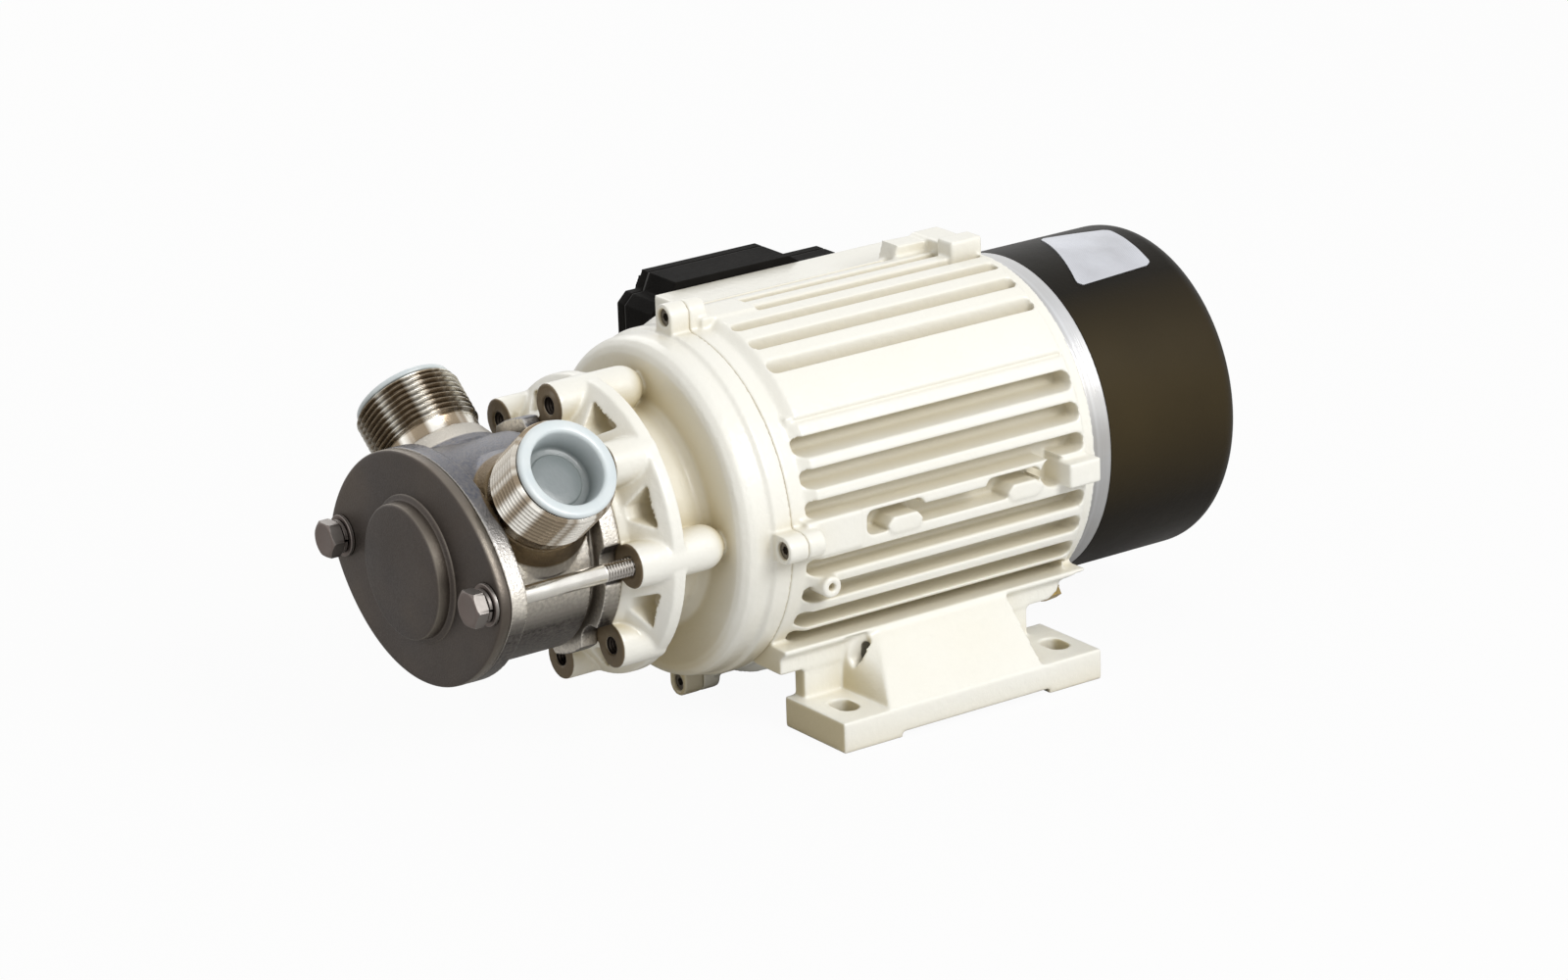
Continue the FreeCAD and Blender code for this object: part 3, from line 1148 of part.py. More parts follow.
def box_outline(margin):
    """Side view of the terminal box: low ends, slopes and a raised middle, above and below."""
    front = -size.box_front_offset - margin
    back = -size.box_front_offset + size.box_length + margin
    middle = -size.box_front_offset + size.box_slope_length + size.box_middle_length / 2
    low = size.box_end_half_height + margin
    high = size.box_middle_half_height + margin
    rise_start = middle - size.box_middle_length / 2
    rise_end = middle + size.box_middle_length / 2
    slope = size.box_slope_length
    centre = size.box_centre_height
    upper = [(front, centre + low - 4), (front + 4, centre + low), (rise_start - 3, centre + low),
             (rise_start, centre + high), (rise_end, centre + high), (rise_end + slope, centre + low),
             (back - 4, centre + low), (back, centre + low - 4)]
    lower = [(y, 2 * centre - z) for y, z in reversed(upper)]
    return upper + lower


def terminal_box():
    """Black box on a flat seat of the frame, with gasket, lid, block, capacitor and gland."""
    seat = -BOX_SEAT
    outer = seat - size.box_depth
    shell = extruded("box_shell", "YZ_Plane", box_outline(0), outer, size.box_depth)
    hollow = extruded("box_hollow", "YZ_Plane", box_outline(-size.box_wall), outer - 1,
                      size.box_depth + 1 - size.box_wall)
    gland_hole = cylinder("gland_hole", size.gland_radius + 0.1, 8, GLAND_X, BOX_BACK - 6, size.box_centre_height)
    window = box("box_window", seat - 5, -10, size.box_centre_height - 12, 8, 24, 24)
    screw_holes = []
    for index, (y, z) in enumerate(LID_SCREW_PLACES):
        screw_holes.append((index, y, z))
    bosses = [cylinder(f"lid_boss_{index}", 3.6, size.box_depth - 0.5, outer, y, z, "x")
              for index, y, z in screw_holes]
    lid_holes = [cylinder(f"lid_boss_hole_{index}", 1.7, 12, outer - 1, y, z, "x")
                 for index, y, z in screw_holes]
    seat_screws = []
    seat_holes = []
    for index, (y, z) in enumerate(SEAT_SCREW_PLACES):
        seat_holes.append(cylinder(f"seat_screw_hole_{index}", 2.2, 8, seat - 4, y, z, "x"))
    hollowed = fuse("box_with_bosses", [cut("box_hollowed", shell, [hollow]), fuse("lid_bosses", bosses)])
    keep(cut("terminal_box_cut", hollowed, [gland_hole, window] + lid_holes + seat_holes), "terminal_box")
    gasket_back = outer - size.gasket_thickness
    gasket = extruded("gasket_blank", "YZ_Plane", box_outline(-0.3), gasket_back, size.gasket_thickness)
    gasket_hole = extruded("gasket_opening", "YZ_Plane", box_outline(-size.box_wall - 0.5), gasket_back - 1,
                           size.gasket_thickness + 2)
    gasket_body = fuse("gasket_with_ears", [cut("gasket_ring", gasket, [gasket_hole])] + [
        cylinder(f"gasket_ear_{index}", 3.6, size.gasket_thickness, gasket_back, y, z, "x")
        for index, y, z in screw_holes])
    gasket_screw_holes = [cylinder(f"gasket_screw_hole_{index}", 1.9, 4, gasket_back - 1, y, z, "x")
                          for index, y, z in screw_holes]
    keep(cut("box_gasket_cut", gasket_body, gasket_screw_holes), "box_gasket")
    lid_back = gasket_back - size.lid_depth
    base = extruded("lid_base", "YZ_Plane", box_outline(0), lid_back + 2.5, size.lid_depth - 2.5)
    raised = extruded("lid_raised", "YZ_Plane", box_outline(-3), lid_back, 3)
    lid_hollow = extruded("lid_hollow", "YZ_Plane", box_outline(-3 - size.box_wall), lid_back + 2, size.lid_depth)
    lid_bosses = [cylinder(f"lid_post_{index}", 3.6, size.lid_depth - 1, lid_back + 1, y, z, "x")
                  for index, y, z in screw_holes]
    lid_screw_holes = [cylinder(f"lid_screw_hole_{index}", 1.9, size.lid_depth + 2, lid_back - 1, y, z, "x")
                       for index, y, z in screw_holes]
    lid_solid = cut("lid_shell", fuse("lid_solid", [base, raised]), [lid_hollow])
    keep(cut("box_lid_cut", fuse("lid_with_posts", [lid_solid] + lid_bosses), lid_screw_holes), "box_lid")
    screws = []
    for index, y, z in screw_holes:
        head = cylinder(f"lid_screw_head_{index}", 3.1, 1.8, lid_back - 1.8, y, z, "x")
        shank = cylinder(f"lid_screw_shank_{index}", 1.6, size.lid_depth + 8, lid_back - 1, y, z, "x")
        screws.append(fuse(f"lid_screw_{index}", [head, shank]))
    group("lid_screws", screws)
    for index, (y, z) in enumerate(SEAT_SCREW_PLACES):
        head = cylinder(f"seat_screw_head_{index}", 3.5, 2.4, seat - size.box_wall - 2.4, y, z, "x")
        shank = cylinder(f"seat_screw_shank_{index}", 2, size.box_wall + 3.5, seat - size.box_wall - 0.5, y, z, "x")
        seat_screws.append(fuse(f"seat_screw_{index}", [head, shank]))
    group("box_seat_screws", seat_screws)


def box_inside():
    """Terminal block on the box floor, run capacitor beside it."""
    floor_x = -BOX_SEAT - size.box_wall
    block_y = -size.box_front_offset + 9
    block = box("block_base", floor_x - 9, block_y + 1, size.box_centre_height - 16, 9, 16, 32)
    wells = [box(f"block_well_{index}", floor_x - 10, block_y + 3, size.box_centre_height - 14.5 + 5 * index,
                 5, 12, 3.6) for index in range(6)]
    keep(cut("terminal_block_cut", block, wells), "terminal_block")
    can_y = BOX_BACK - 11
    can = cylinder("capacitor_can", 7.4, 44, floor_x - 7.5, can_y - 50, size.box_centre_height - 8, "y")
    rim = cylinder("capacitor_rim", 7.5, 2, floor_x - 7.5, can_y - 50 + 42, size.box_centre_height - 8, "y")
    tabs = [box(f"capacitor_tab_{index}", floor_x - 7.9, can_y - 7, size.box_centre_height - 8 + shift, 0.8, 6, 3)
            for index, shift in enumerate((-4.5, 1.5))]
    keep(fuse("run_capacitor_solid", [can, rim] + tabs), "run_capacitor")


def cable_gland():
    """Gland in the rear end of the box, with its clamping nut."""
    z = size.box_centre_height
    cap_end = BOX_BACK + size.gland_length
    neck = cylinder("gland_neck", size.gland_radius, 8, GLAND_X, BOX_BACK - 6, z)
    flange = hexagon("gland_hexagon", size.gland_flats, 4, GLAND_X, BOX_BACK, z)
    tube = cylinder("gland_tube", size.gland_radius, size.gland_length - 6, GLAND_X, BOX_BACK + 1, z)
    bore = cylinder("gland_bore", 4.5, size.gland_length + 12, GLAND_X, BOX_BACK - 8, z)
    keep(cut("cable_gland_cut", fuse("gland_solid", [neck, flange, tube]), [bore]), "cable_gland")
    cap_hexagon = hexagon("gland_cap_hexagon", size.gland_flats, 8, GLAND_X, cap_end - 12, z)
    cap_dome = cone("gland_cap_dome", size.gland_radius + 0.6, size.gland_radius - 2.4, 4,
                    GLAND_X, cap_end - 4, z)
    cap_bore = cylinder("gland_cap_bore", size.gland_radius + 0.02, 7.22, GLAND_X, cap_end - 12.2, z)
    cap_mouth = cylinder("gland_cap_mouth", 4.5, 6.5, GLAND_X, cap_end - 5.2, z)
    keep(cut("gland_nut_cut", fuse("gland_cap", [cap_hexagon, cap_dome]), [cap_bore, cap_mouth]), "gland_nut")


def earth_screw():
    """Earth screw with its washer on a boss at the rear end of the frame."""
    seat = EARTH_SEAT
    washer = cut("earth_washer_cut", spoke("earth_washer_disc", as_size(4.6), seat, as_size(1), EARTH, EARTH_ANGLE),
                 [spoke("earth_washer_hole", as_size(2.6), seat - 1, as_size(3), EARTH, EARTH_ANGLE)])
    keep(washer, "earth_washer")
    head = spoke("earth_head", as_size(4.3), seat + 1, as_size(3.2), EARTH, EARTH_ANGLE, 6)
    shank = spoke("earth_shank", as_size(2.45), seat - 7, as_size(9), EARTH, EARTH_ANGLE)
    keep(fuse("earth_screw_solid", [head, shank]), "earth_screw")


PORTS = (("inlet", 1), ("outlet", -1))
COVER_SCREW_ANGLES = (120, 200, 280)
EARTH = FRAME_END - 3.6
EARTH_ANGLE = -55
EARTH_SEAT = size.fin_radius + 0.4
GLAND_X = -BOX_SEAT - 9.6
BOX_BACK = size.box_length - size.box_front_offset
BOX_TOP = size.box_centre_height + size.box_end_half_height
BOX_BOTTOM = size.box_centre_height - size.box_end_half_height
LID_SCREW_PLACES = tuple(
    (y, z)
    for y in (-size.box_front_offset + 6.5, BOX_BACK - 6.5)
    for z in (BOX_BOTTOM + 6.5, BOX_TOP - 6.5)
)
SEAT_SCREW_PLACES = tuple(
    (y, size.box_centre_height + shift)
    for y in (-size.box_front_offset + 34, BOX_BACK - 34)
    for shift in (-22, 22)
)

front_cover()
cover_ring()
cover_screws()
pump_body()
port_nipples()
port_plugs()
wear_plate()
cam()
impeller()
shaft_seal()
front_end_shield()
rim_screws()
slinger()
drive_shaft()
bearings()
rotor()
stator()
stator_frame()
rear_end_shield()
fan()
fan_cover()
terminal_box()
box_inside()
cable_gland()
earth_screw()
doc.recompute()

for thing in doc.Objects:
    if {"Invalid", "Error"} & set(thing.State):
        raise RuntimeError(f"{thing.Name} could not be built: {thing.State}")
for piece in PIECES:
    if piece.Shape.isNull() or not piece.Shape.isValid() or not piece.Shape.Solids:
        raise RuntimeError(f"{piece.Label} has no sound solid")

os.makedirs("parts", exist_ok=True)
for piece in PIECES:
    piece.Shape.exportStep(f"parts/{piece.Label}.step")
print(f"{len(PIECES)} pieces, {sum(len(piece.Shape.Solids) for piece in PIECES)} solids")
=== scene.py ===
import math

import bmesh
import bpy
from mathutils import Matrix, Vector


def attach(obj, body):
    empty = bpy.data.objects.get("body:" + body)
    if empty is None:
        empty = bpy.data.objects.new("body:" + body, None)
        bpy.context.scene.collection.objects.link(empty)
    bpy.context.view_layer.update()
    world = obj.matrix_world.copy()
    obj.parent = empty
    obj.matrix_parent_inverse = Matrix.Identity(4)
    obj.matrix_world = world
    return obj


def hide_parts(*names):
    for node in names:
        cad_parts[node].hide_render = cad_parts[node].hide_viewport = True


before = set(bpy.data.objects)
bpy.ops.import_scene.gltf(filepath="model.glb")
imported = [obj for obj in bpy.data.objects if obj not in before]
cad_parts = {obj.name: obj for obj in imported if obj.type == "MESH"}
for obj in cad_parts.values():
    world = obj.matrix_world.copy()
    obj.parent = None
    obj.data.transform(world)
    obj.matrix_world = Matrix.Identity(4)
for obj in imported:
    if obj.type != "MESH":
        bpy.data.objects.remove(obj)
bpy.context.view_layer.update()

# Studio: a white floor, one large lamp over the side with the inlet port and two weak fills.
# The camera stands in front of the pump head, to the inlet side and a little above, and looks
# with a long lens. All drawing below is in millimetres and turned into metres when a piece is made.
MM = 0.001
SHAFT = 80.0    # height of the shaft above the floor
SEAM = -69.0    # where the front end shield meets the motor frame, along the shaft
PICTURE_WIDTH = 1600
PICTURE_HEIGHT = 1000
CAMERA_ROUND = math.radians(54.95)
CAMERA_ABOVE = math.radians(18.94)
CAMERA_ROLL = math.radians(-1.93)
CAMERA_DISTANCE = 2127.0
PIXELS_PER_UNIT = 5745.0
SEAM_PIXEL = (703.0, 507.5)

look = Vector((
    -math.cos(CAMERA_ABOVE) * math.sin(CAMERA_ROUND),
    math.cos(CAMERA_ABOVE) * math.cos(CAMERA_ROUND),
    -math.sin(CAMERA_ABOVE),
))
level = Vector((math.cos(CAMERA_ROUND), math.sin(CAMERA_ROUND), 0))
upright = level.cross(look)
across = math.cos(CAMERA_ROLL) * level + math.sin(CAMERA_ROLL) * upright
upward = math.cos(CAMERA_ROLL) * upright - math.sin(CAMERA_ROLL) * level
right_of_centre = (SEAM_PIXEL[0] - PICTURE_WIDTH / 2) / PIXELS_PER_UNIT
above_centre = (PICTURE_HEIGHT / 2 - SEAM_PIXEL[1]) / PIXELS_PER_UNIT
spot = Vector((0, SEAM, SHAFT)) - (look + right_of_centre * across + above_centre * upward) * CAMERA_DISTANCE

camera_data = bpy.data.cameras.new("camera")
camera_data.sensor_fit = "HORIZONTAL"
camera_data.sensor_width = 36
camera_data.lens = PIXELS_PER_UNIT * camera_data.sensor_width / PICTURE_WIDTH
camera_data.clip_start = 0.05
camera_data.clip_end = 50
camera = bpy.data.objects.new("camera", camera_data)
bpy.context.scene.collection.objects.link(camera)
camera.matrix_world = Matrix.Translation(spot * MM) @ Matrix((
    (across.x, upward.x, -look.x, 0),
    (across.y, upward.y, -look.y, 0),
    (across.z, upward.z, -look.z, 0),
    (0, 0, 0, 1),
))
bpy.context.scene.camera = camera
bpy.context.scene.view_settings.view_transform = "Standard"


def lamp(name, place, aim, size, power):
    """A square white lamp, in metres and watts, that shines from its place towards its aim."""
    data = bpy.data.lights.new(name, "AREA")
    data.shape = "SQUARE"
    data.size = size
    data.energy = power
    thing = bpy.data.objects.new(name, data)
    bpy.context.scene.collection.objects.link(thing)
    thing.location = place
    thing.rotation_euler = (Vector(aim) - Vector(place)).to_track_quat("-Z", "Y").to_euler()


lamp("key_lamp", (1.6, 0.35, 1.35), (0, -0.02, 0.08), 0.9, 27)
lamp("front_fill", (0.5, -1.9, 0.7), (0, -0.1, 0.08), 1.0, 1.5)
lamp("far_fill", (-1.5, 0.2, 1.1), (0, 0, 0.08), 1.2, 7)


def put(tree, kind, sockets=None, **settings):
    """Adds a shader node; a socket takes a number, a colour or another node's output."""
    node = tree.nodes.new("ShaderNode" + kind)
    for word, value in settings.items():
        setattr(node, word, value)
    for word, value in (sockets or {}).items():
        if isinstance(value, bpy.types.NodeSocket):
            tree.links.new(value, node.inputs[word])
        else:
            node.inputs[word].default_value = value
    return node


SKY_LIGHT = 0.5     # what the white room gives the object; the camera and mirrors see it at 1
FLOOR_GLOW = 0.95   # how much of the floor is plain white to the camera, the rest takes the shadow
WARM = (1, 0.975, 0.93, 1)
WHITE = (1, 1, 1, 1)

world = bpy.data.worlds.new("white_studio")
bpy.context.scene.world = world
world.use_nodes = True
tree = world.node_tree
rays = put(tree, "LightPath").outputs
mirrored = put(tree, "Math", {0: rays["Is Camera Ray"], 1: rays["Is Glossy Ray"]}, operation="MAXIMUM")
seen = put(tree, "Math", {0: mirrored.outputs[0], 1: rays["Is Transmission Ray"]}, operation="MAXIMUM")
strength = put(tree, "MapRange", {"Value": seen.outputs[0], "To Min": SKY_LIGHT, "To Max": 1.0})
tint = put(tree, "Mix", {0: seen.outputs[0], 6: WARM, 7: WHITE}, data_type="RGBA")
background = tree.nodes["Background"]
tree.links.new(tint.outputs[2], background.inputs["Color"])
tree.links.new(strength.outputs["Result"], background.inputs["Strength"])

floor_mesh = bpy.data.meshes.new("floor")
floor_mesh.from_pydata([(-5, -5, 0), (5, -5, 0), (5, 5, 0), (-5, 5, 0)], [], [(0, 1, 2, 3)])
floor = bpy.data.objects.new("floor", floor_mesh)
bpy.context.scene.collection.objects.link(floor)
floor_paint = bpy.data.materials.new("floor_white")
floor_paint.use_nodes = True
tree = floor_paint.node_tree
paint = tree.nodes["Principled BSDF"]
paint.inputs["Base Color"].default_value = (0.6, 0.6, 0.6, 1)
paint.inputs["Roughness"].default_value = 0.9
glow = put(tree, "Emission")
rays = put(tree, "LightPath").outputs
share = put(tree, "Math", {0: rays["Is Camera Ray"], 1: FLOOR_GLOW}, operation="MULTIPLY")
blend = put(tree, "MixShader", {0: share.outputs[0], 1: paint.outputs[0], 2: glow.outputs[0]})
tree.links.new(blend.outputs[0], tree.nodes["Material Output"].inputs["Surface"])
floor_mesh.materials.append(floor_paint)

# Motor frame: one aluminium casting with fins, lugs, rails and both feet, sprayed in a glossy cream
# paint that lies thin on the edges. Painted olive shade darkens its grooves and recesses, painted
# shade darkens the feet's faces turned to the front, and painted near-black shade fills the deepest
# hollows below the rails. The casting's own shape comes from the frame; here its edges get the
# rounding that the mould gave them.
CREAM = (0.89, 0.885, 0.83, 1)
AGED_CREAM = (0.86, 0.84, 0.75, 1)
WORN_CREAM = (0.9, 0.89, 0.83, 1)
OLIVE_SHADE = (0.56, 0.47, 0.27, 1)
FOOT_FRONT_SHADE = (0.6, 0.52, 0.33, 1)
FOOT_HOLLOW_SHADE = (0.05, 0.035, 0.02, 1)
FOOT_SHADE_TOP = 50.0
RAIL_BOTTOM = 34.0
RIB_TO_LUG = ((-24, 56, 142), (-3, 69, 154.6))
SHALLOW_GROOVES = [((47.6, -62.2, 120.8), (55.0, 66.5, 123.2)), ((-55.0, -62.2, 120.8), (-47.6, 66.5, 123.2))]
FRAME_GRAIN = 0.7   # the cell of the casting's skin


def shader_group(name, inputs, output):
    """A shader group with one output that varies over the surface; an input is (name, kind, value)."""
    tree = bpy.data.node_groups.new(name, "ShaderNodeTree")
    for title, kind, value in inputs:
        socket = tree.interface.new_socket(title, in_out="INPUT", socket_type="NodeSocket" + kind)
        socket.default_value = value
    tree.interface.new_socket(output, in_out="OUTPUT", socket_type="NodeSocketFloat")
    return tree, tree.nodes.new("NodeGroupInput").outputs, tree.nodes.new("NodeGroupOutput").inputs[output]


tree, given, result = shader_group("grain", [("Scale", "Float", 400.0), ("Detail", "Float", 3.0)], "Height")
noise = put(tree, "TexNoise", {"Vector": put(tree, "TexCoord").outputs["Object"], "Scale": given["Scale"],
                               "Detail": given["Detail"]})
tree.links.new(noise.outputs[0], result)

tree, given, result = shader_group("mottle", [("Scale", "Float", 30.0), ("Share", "Float", 0.5)], "Mask")
noise = put(tree, "TexNoise", {"Vector": put(tree, "TexCoord").outputs["Object"], "Scale": given["Scale"],
                               "Detail": 4.0})
spread = put(tree, "MapRange", {"Value": noise.outputs[0], "From Min": 0.3, "From Max": 0.7,
                                "To Min": 0.0, "To Max": given["Share"]})
tree.links.new(spread.outputs[0], result)

tree, given, result = shader_group("recess", [
    ("Distance", "Float", 0.01), ("Start", "Float", 0.95), ("End", "Float", 0.12),
    ("Full", "Float", 0.7)], "Mask")
shelter = put(tree, "AmbientOcclusion", {"Distance": given["Distance"]}, samples=8)
spread = put(tree, "MapRange", {"Value": shelter.outputs["AO"], "From Min": given["Start"],
                                "From Max": given["End"], "To Min": 0.0, "To Max": given["Full"]})
tree.links.new(spread.outputs[0], result)

tree, given, result = shader_group("worn_edge", [("Start", "Float", 0.52), ("End", "Float", 0.58)], "Mask")
bend = put(tree, "NewGeometry").outputs["Pointiness"]
spread = put(tree, "MapRange", {"Value": bend, "From Min": given["Start"], "From Max": given["End"]})
tree.links.new(spread.outputs[0], result)

tree, given, result = shader_group("behind", [
    ("Direction", "Vector", (0, 1, 0)), ("Place", "Float", 0.0), ("Depth", "Float", 0.0003)], "Mask")
place = put(tree, "VectorMath", {0: put(tree, "TexCoord").outputs["Object"], 1: given["Direction"]},
            operation="DOT_PRODUCT").outputs["Value"]
past = put(tree, "Math", {0: given["Place"], 1: place}, operation="SUBTRACT")
spread = put(tree, "Math", {0: past.outputs[0], 1: given["Depth"]}, operation="DIVIDE", use_clamp=True)
tree.links.new(spread.outputs[0], result)

tree, given, result = shader_group("facing", [
    ("Direction", "Vector", (0, 0, -1)), ("Start", "Float", 0.0), ("End", "Float", 1.0)], "Mask")
lean = put(tree, "VectorMath", {0: put(tree, "TexCoord").outputs["Normal"], 1: given["Direction"]},
           operation="DOT_PRODUCT").outputs["Value"]
spread = put(tree, "MapRange", {"Value": lean, "From Min": given["Start"], "From Max": given["End"]})
tree.links.new(spread.outputs[0], result)


def surface(name, colour, roughness, metallic=0.0, constants=None):
    """A material with the values that are the same all over it."""
    look = bpy.data.materials.new(name)
    look.use_nodes = True
    shader = look.node_tree.nodes["Principled BSDF"]
    values = {"Base Color": (*colour[:3], 1), "Roughness": roughness, "Metallic": metallic, **(constants or {})}
    for word, value in values.items():
        shader.inputs[word].default_value = value
    return look


def pattern(look, name, **values):
    """A shader group placed in a material with its own values."""
    node = look.node_tree.nodes.new("ShaderNodeGroup")
    node.node_tree = bpy.data.node_groups[name]
    for word, value in values.items():
        node.inputs[word.capitalize()].default_value = value
    return node.outputs[0]


def feed(look, word, mask, value, within=None):
    """Brings another colour or number into a socket of the shader where the mask is high, and only
    inside a second mask if there is one."""
    tree = look.node_tree
    if within:
        mask = put(tree, "Math", {0: mask, 1: within}, operation="MULTIPLY").outputs[0]
    target = tree.nodes["Principled BSDF"].inputs[word]
    kind, first, second, out = ("RGBA", 6, 7, 2) if target.type == "RGBA" else ("FLOAT", 2, 3, 0)
    before = target.links[0].from_socket if target.links else target.default_value
    if not target.links and kind == "RGBA":
        before = tuple(before)
    blend = put(tree, "Mix", {0: mask, first: before, second: value}, data_type=kind)
    tree.links.new(blend.outputs[out], target)


def relief(look, height, depth):
    """Raises or sinks the surface by a pattern, to a depth in metres."""
    tree = look.node_tree
    target = tree.nodes["Principled BSDF"].inputs["Normal"]
    sockets = {"Height": height, "Distance": depth}
    if target.links:
        sockets["Normal"] = target.links[0].from_socket
    tree.links.new(put(tree, "Bump", sockets).outputs[0], target)


cream_paint = surface("cream_paint", CREAM, 0.3, 0.0, {"Coat Weight": 0.25, "Coat Roughness": 0.12})
feed(cream_paint, "Base Color", pattern(cream_paint, "mottle", scale=26, share=0.5), AGED_CREAM)
# Painted shade: recesses are darkened towards olive.
feed(cream_paint, "Base Color", pattern(cream_paint, "recess", distance=0.012, full=0.55), OLIVE_SHADE)
# Painted shade: faces of the feet that turn to the front, low on the frame, are darkened to tan.
feed(cream_paint, "Base Color", pattern(cream_paint, "facing", direction=(0, -1, 0), start=0.6, end=1.0),
     FOOT_FRONT_SHADE, pattern(cream_paint, "behind", direction=(0, 0, 1), place=FOOT_SHADE_TOP * MM, depth=0.03))
# Painted shade: the deepest hollows below the rails, inside the feet, are painted near black.
feed(cream_paint, "Base Color", pattern(cream_paint, "recess", distance=0.02, start=0.16, end=0.05, full=1),
     FOOT_HOLLOW_SHADE, pattern(cream_paint, "behind", direction=(0, 0, 1), place=RAIL_BOTTOM * MM, depth=0.003))
feed(cream_paint, "Base Color", pattern(cream_paint, "worn_edge", start=0.53, end=0.62), WORN_CREAM)
feed(cream_paint, "Roughness", pattern(cream_paint, "mottle", scale=70, share=0.8), 0.44)
relief(cream_paint, pattern(cream_paint, "grain", scale=330, detail=2), 0.00022)
relief(cream_paint, pattern(cream_paint, "grain", scale=1500, detail=1), 0.00003)


def finish_piece(name, data, body, material, stands_for=()):
    """A finished mesh in metres becomes a piece that rides on a body of the frame."""
    data.materials.clear()
    data.materials.append(material)
    thing = bpy.data.objects.new(name, data)
    bpy.context.scene.collection.objects.link(thing)
    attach(thing, body)
    if stands_for:
        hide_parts(*stands_for)


def shaped(source, steps):
    """The mesh of an object after a list of modifiers; the object itself is used up."""
    for kind, values in steps:
        step = source.modifiers.new(kind, kind)
        for word, value in values.items():
            setattr(step, word, value)
    data = bpy.data.meshes.new_from_object(source.evaluated_get(bpy.context.evaluated_depsgraph_get()))
    used = source.data
    bpy.data.objects.remove(source)
    bpy.data.meshes.remove(used)
    return data


def moulding(grain, rounds):
    """Modifiers that give a solid the soft edges of a casting; grain is the skin's cell in mm."""
    cell = grain * MM * 1
    return [("REMESH", {"mode": "VOXEL", "voxel_size": cell}),
            ("SMOOTH", {"factor": 0.5, "iterations": rounds})]


def moulded(node, material, grain, rounds, more=()):
    """A cast or moulded piece: the node's own solid, with boxes added in mm, and rounded edges."""
    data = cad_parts[node].data.copy()
    mesh = bmesh.new()
    mesh.from_mesh(data)
    bmesh.ops.remove_doubles(mesh, verts=mesh.verts, dist=1e-7)
    for low, high in more:
        size = [top - bottom for bottom, top in zip(low, high)]
        middle = [(top + bottom) / 2 for bottom, top in zip(low, high)]
        bmesh.ops.create_cube(mesh, size=MM, matrix=Matrix.LocRotScale(Vector(middle) * MM, None, Vector(size)))
    mesh.to_mesh(data)
    mesh.free()
    blank = bpy.data.objects.new("blank", data)
    bpy.context.scene.collection.objects.link(blank)
    data = shaped(blank, moulding(grain, rounds))
    data.shade_smooth()
    finish_piece(f"{node}_skin", data, "pump_and_motor", material, [node])


# The boxes join the lifting rib to its lug and make the narrowest groove on each side shallow.
moulded("stator_frame", cream_paint, FRAME_GRAIN, 5, [RIB_TO_LUG, *SHALLOW_GROOVES])

# Front end shield: an aluminium casting in the same paint, a lantern between pump and motor with a
# nose of eight bosses, a round plate and the drum of the front bearing. The boss faces and the nose
# are machined after painting, so they are bare metal; their dark brown grey is painted shade.
STUD_FACE = -130.0
BARE_DEPTH = 0.75
BARE_FACE_SHADE_BROWN = (0.17, 0.125, 0.07, 1)
SHIELD_GRAIN = 0.6

shield_paint = cream_paint.copy()
shield_paint.name = "cream_paint_with_bare_faces"
# Painted shade: the drum's face behind the plate and other deep hollows are darkened towards olive.
feed(shield_paint, "Base Color", pattern(shield_paint, "recess", distance=0.045, start=0.8, end=0.3, full=0.6),
     OLIVE_SHADE)
bare_face = pattern(shield_paint, "behind", direction=(0, 1, 0), place=(STUD_FACE + BARE_DEPTH) * MM,
                    depth=0.0004)
# The bare faces are real bare metal; their dark brown colour is painted shade.
feed(shield_paint, "Base Color", bare_face, BARE_FACE_SHADE_BROWN)
feed(shield_paint, "Roughness", bare_face, 0.5)
feed(shield_paint, "Metallic", bare_face, 0.5)
moulded("front_end_shield", shield_paint, SHIELD_GRAIN, 5)


# Rim screws and the screws of the rear shield: four stainless socket screws each, machine made. The
# rim screws sit deep in their bosses; their steel, like that of the other screws here, is painted a
# dark brown grey as shade.
def dress(material, *names):
    """Gives CAD nodes that stay as they are their material."""
    for name in names:
        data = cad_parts[name].data
        data.materials.clear()
        data.materials.append(material)


# Painted shade: the screw steel is coloured a dark brown grey.
dark_steel = surface("shade_dark_screw_steel", (0.2, 0.18, 0.15), 0.38, 1.0)
feed(dark_steel, "Base Color", pattern(dark_steel, "mottle", scale=500, share=0.7), (0.09, 0.075, 0.06, 1))
feed(dark_steel, "Roughness", pattern(dark_steel, "mottle", scale=900, share=0.8), 0.55)
relief(dark_steel, pattern(dark_steel, "grain", scale=2600), 0.00002)
dress(dark_steel, "rim_screws", "rear_shield_screws", "box_seat_screws")

# Stator: a stack of pressed iron sheets with a wound copper head at each end, dipped in varnish and
# shrunk into the frame.
tree, given, result = shader_group("stripes", [
    ("Direction", "Vector", (0, 1, 0)), ("Lines", "Float", 6000.0)], "Height")
place = put(tree, "VectorMath", {0: put(tree, "TexCoord").outputs["Object"], 1: given["Direction"]},
            operation="DOT_PRODUCT").outputs["Value"]
wave = put(tree, "Math", {0: put(tree, "Math", {0: place, 1: given["Lines"]}, operation="MULTIPLY").outputs[0]},
           operation="SINE")
spread = put(tree, "MapRange", {"Value": wave.outputs[0], "From Min": -1.0, "From Max": 1.0})
tree.links.new(spread.outputs[0], result)

SHEET_LINES = 12566
WIRE_LINES = 8400
WIRE_WAY = (0.7, 0.1, 0.7)

